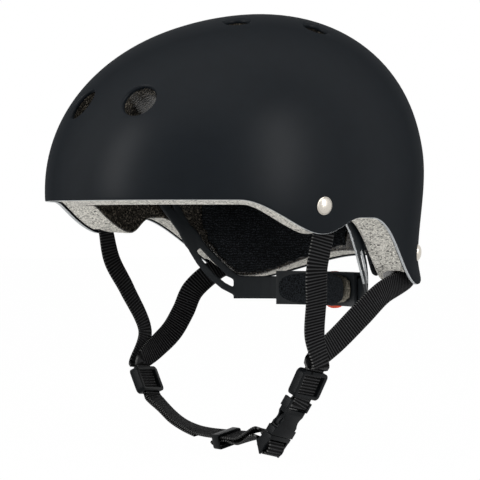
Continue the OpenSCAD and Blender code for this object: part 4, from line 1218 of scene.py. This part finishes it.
class HELMET_OT_fit_band(bpy.types.Operator):
    """Finishes the fit band's arms, the rear cradle and its cushion."""
    bl_idname = "helmet.fit_band"
    bl_label = "Fit band"

    def execute(self, context):
        nylon = band_nylon()
        for side in ("left", "right"):
            arm = remelted(side + "_arm", side + "_band_arm", nylon)
            # Only the near, left arm gets the painted highlight on its edges
            if side == "left":
                self.paint_edge_highlight(arm.data)
            finish(arm, None, "band", side + "_band_arm")
            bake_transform(arm)
        finish(softened("arm_anchors", "band_anchors", nylon, 0.3), "helmet", "band",
               "band_anchors")
        for node in ("cradle_housing", "cradle_cover"):
            finish(softened(node + "_moulding", node, nylon, 0.45), "cradle", "band", node)
        for node in ("left_rack", "right_rack"):
            coat(CAD_NODES[node], nylon)
        finish(swollen("cradle_cushion", "cradle_foam", open_foam(), 1.6, 1.2, 0.4), "cradle",
               "cushion", "cradle_foam")
        finish(softened("cradle_pile", "cradle_fabric", looped_fabric(), 0.15, 40), "cradle",
               "pad", "cradle_fabric")
        return {"FINISHED"}

    def paint_edge_highlight(self, mesh):
        """The legs' front edges get a painted highlight: above the cradle, facing forward and
        down.
        """
        mesh.materials.append(parted_nylon())
        for face in mesh.polygons:
            x, y, z = face.center / MM
            outward = Vector((x, y - BAND_AXIS_Y, 0)).normalized()
            forward = Vector((outward.y, -outward.x, 0)) * math.copysign(1, x)
            edge = (forward - Vector((0, 0, LEG_TILT))).normalized()
            if z > LEG_FOOT and face.normal.dot(edge) > HIGHLIGHT_COSINE:
                face.material_index = 1


class HELMET_OT_dial(bpy.types.Operator):
    """Finishes the adjusting dial: its drum, its toothed ring, its pinion and its screw."""
    bl_idname = "helmet.dial"
    bl_label = "Fit dial"

    def execute(self, context):
        finish(softened("dial_drum", "dial_knob", drum_nylon(), 0.25), "dial", "dial_grey",
               "dial_knob")
        finish(softened("dial_teeth", "dial_ring", soft_ring(), 0.2), "dial", "dial_orange",
               "dial_ring")
        coat(CAD_NODES["dial_pinion"], band_nylon())
        coat(CAD_NODES["dial_screw"], zinc_plate())
        return {"FINISHED"}


# Stage

VIEW_AZIMUTH = math.radians(45)
VIEW_ELEVATION = math.radians(0.4)
VIEW_DISTANCE = 1.3
VIEW_TARGET = Vector((0, 0, -0.025))
VIEW_WIDTH = 0.3
AXIS_SHIFT = 6.4 / 480
WHITE = (1, 1, 1)
FLOOR_GREY = (0.9, 0.9, 0.9)
FLOOR_GAP = 0.0015
FLOOR_REACH = 6.0
SKY_FILL = 0.4
# Metres towards the camera, to its right and up from the helmet, width, height and watts
SOFTBOXES = {"key": (0.6, -0.1, 1.2, 1.2, 1.0, 4), "left_strip": (0.58, -1.03, 0.4, 0.24, 1.1, 9),
             "right_strip": (0.85, 0.82, 0.4, 0.24, 1.1, 9)}


def seen_by(tree, *rays):
    """1 for a ray of any of these kinds, and 0 for the rest."""
    path = add(tree, "ShaderNodeLightPath")
    found = 0.0
    for ray in rays:
        found = add(tree, "ShaderNodeMath", {0: path.outputs["Is %s Ray" % ray], 1: found},
                    operation="MAXIMUM")
    return found


def paper(name, colour, lift):
    """Matte paper that the camera and reflections see near white, with its shadow kept."""
    made = bpy.data.materials.new(name)
    made.use_nodes = True
    tree = made.node_tree
    tree.nodes.clear()
    matte = add(tree, "ShaderNodeBsdfDiffuse", {"Color": colour})
    glow = add(tree, "ShaderNodeEmission", {"Color": WHITE, "Strength": 1})
    amount = add(tree, "ShaderNodeMath", {0: seen_by(tree, "Camera", "Glossy"), 1: lift},
                 operation="MULTIPLY")
    mixed = add(tree, "ShaderNodeMixShader", {0: amount, 1: matte, 2: glow})
    add(tree, "ShaderNodeOutputMaterial", {"Surface": mixed})
    return made


def softbox(name, at, width, height, power):
    """A rectangular studio light aimed at the helmet."""
    lamp = bpy.data.lights.new(name, "AREA")
    lamp.shape = "RECTANGLE"
    lamp.size, lamp.size_y, lamp.energy = width, height, power
    made = in_scene(name, lamp)
    made.location = at
    made.rotation_euler = (-at).to_track_quat("-Z", "Y").to_euler()


class HELMET_OT_stage(bpy.types.Operator):
    """Sets the floor, the soft light and the camera at the photograph's angle."""
    bl_idname = "helmet.stage"
    bl_label = "Stage"

    def execute(self, context):
        scene = context.scene
        scene.view_settings.view_transform = "Standard"
        low = CAD_BOX[0][2] - FLOOR_GAP
        corners = [(x * FLOOR_REACH, y * FLOOR_REACH, low)
                   for x, y in ((-1, -1), (1, -1), (1, 1), (-1, 1))]
        new_object("floor", np.array(corners) / MM, [(0, 1, 2, 3)],
                            [paper("white_floor_paper", FLOOR_GREY, 0.99)])
        world = scene.world or bpy.data.worlds.new("studio")
        scene.world = world
        world.use_nodes = True
        tree = world.node_tree
        tree.nodes.clear()
        fill = add(tree, "ShaderNodeBackground", {"Color": WHITE, "Strength": SKY_FILL})
        white = add(tree, "ShaderNodeBackground", {"Color": WHITE, "Strength": 1})
        seen = seen_by(tree, "Camera", "Transmission", "Glossy")
        mixed = add(tree, "ShaderNodeMixShader", {0: seen, 1: fill, 2: white})
        add(tree, "ShaderNodeOutputWorld", {"Surface": mixed})
        back = Vector((math.sin(VIEW_AZIMUTH) * math.cos(VIEW_ELEVATION),
                       -math.cos(VIEW_AZIMUTH) * math.cos(VIEW_ELEVATION),
                       math.sin(VIEW_ELEVATION)))
        right = Vector((math.cos(VIEW_AZIMUTH), math.sin(VIEW_AZIMUTH), 0))
        for name, (near, aside, high, *shape) in SOFTBOXES.items():
            softbox(name, back * near + right * aside + Vector((0, 0, high)), *shape)
        camera = bpy.data.cameras.new("camera")
        camera.sensor_width = 36
        camera.lens = camera.sensor_width * VIEW_DISTANCE / VIEW_WIDTH
        camera.shift_x = AXIS_SHIFT
        camera.clip_start, camera.clip_end = 0.05, 30
        view = in_scene("camera", camera)
        view.location = VIEW_TARGET + back * VIEW_DISTANCE
        view.rotation_euler = (-back).to_track_quat("-Z", "Y").to_euler()
        scene.camera = view
        return {"FINISHED"}


OPERATORS = [HELMET_OT_stage, HELMET_OT_shell, HELMET_OT_liner, HELMET_OT_pads, HELMET_OT_rivets,
             HELMET_OT_webbing, HELMET_OT_hardware, HELMET_OT_fit_band, HELMET_OT_dial]


class HELMET_PT_panel(bpy.types.Panel):
    """Lists the helmet's pieces, sizes and colours."""
    bl_label = "Sport helmet"
    bl_idname = "HELMET_PT_panel"
    bl_space_type = "VIEW_3D"
    bl_region_type = "UI"
    bl_category = "Helmet"

    def draw(self, context):
        for operator in OPERATORS:
            self.layout.operator(operator.bl_idname)
        for group in (context.scene.helmet_sizes, context.scene.helmet_colours):
            box = self.layout.box()
            for name in group.__annotations__:
                box.prop(group, name)


CLASSES = [HelmetSizes, HelmetColours, *OPERATORS, HELMET_PT_panel]


def register():
    for made in CLASSES:
        bpy.utils.register_class(made)
    bpy.types.Scene.helmet_sizes = PointerProperty(type=HelmetSizes)
    bpy.types.Scene.helmet_colours = PointerProperty(type=HelmetColours)


def unregister():
    del bpy.types.Scene.helmet_colours
    del bpy.types.Scene.helmet_sizes
    for made in reversed(CLASSES):
        bpy.utils.unregister_class(made)


def main():
    """Makes every piece in order."""
    register()
    for operator in OPERATORS:
        group, name = operator.bl_idname.split(".")
        getattr(getattr(bpy.ops, group), name)()


if __name__ == "__main__":
    main()
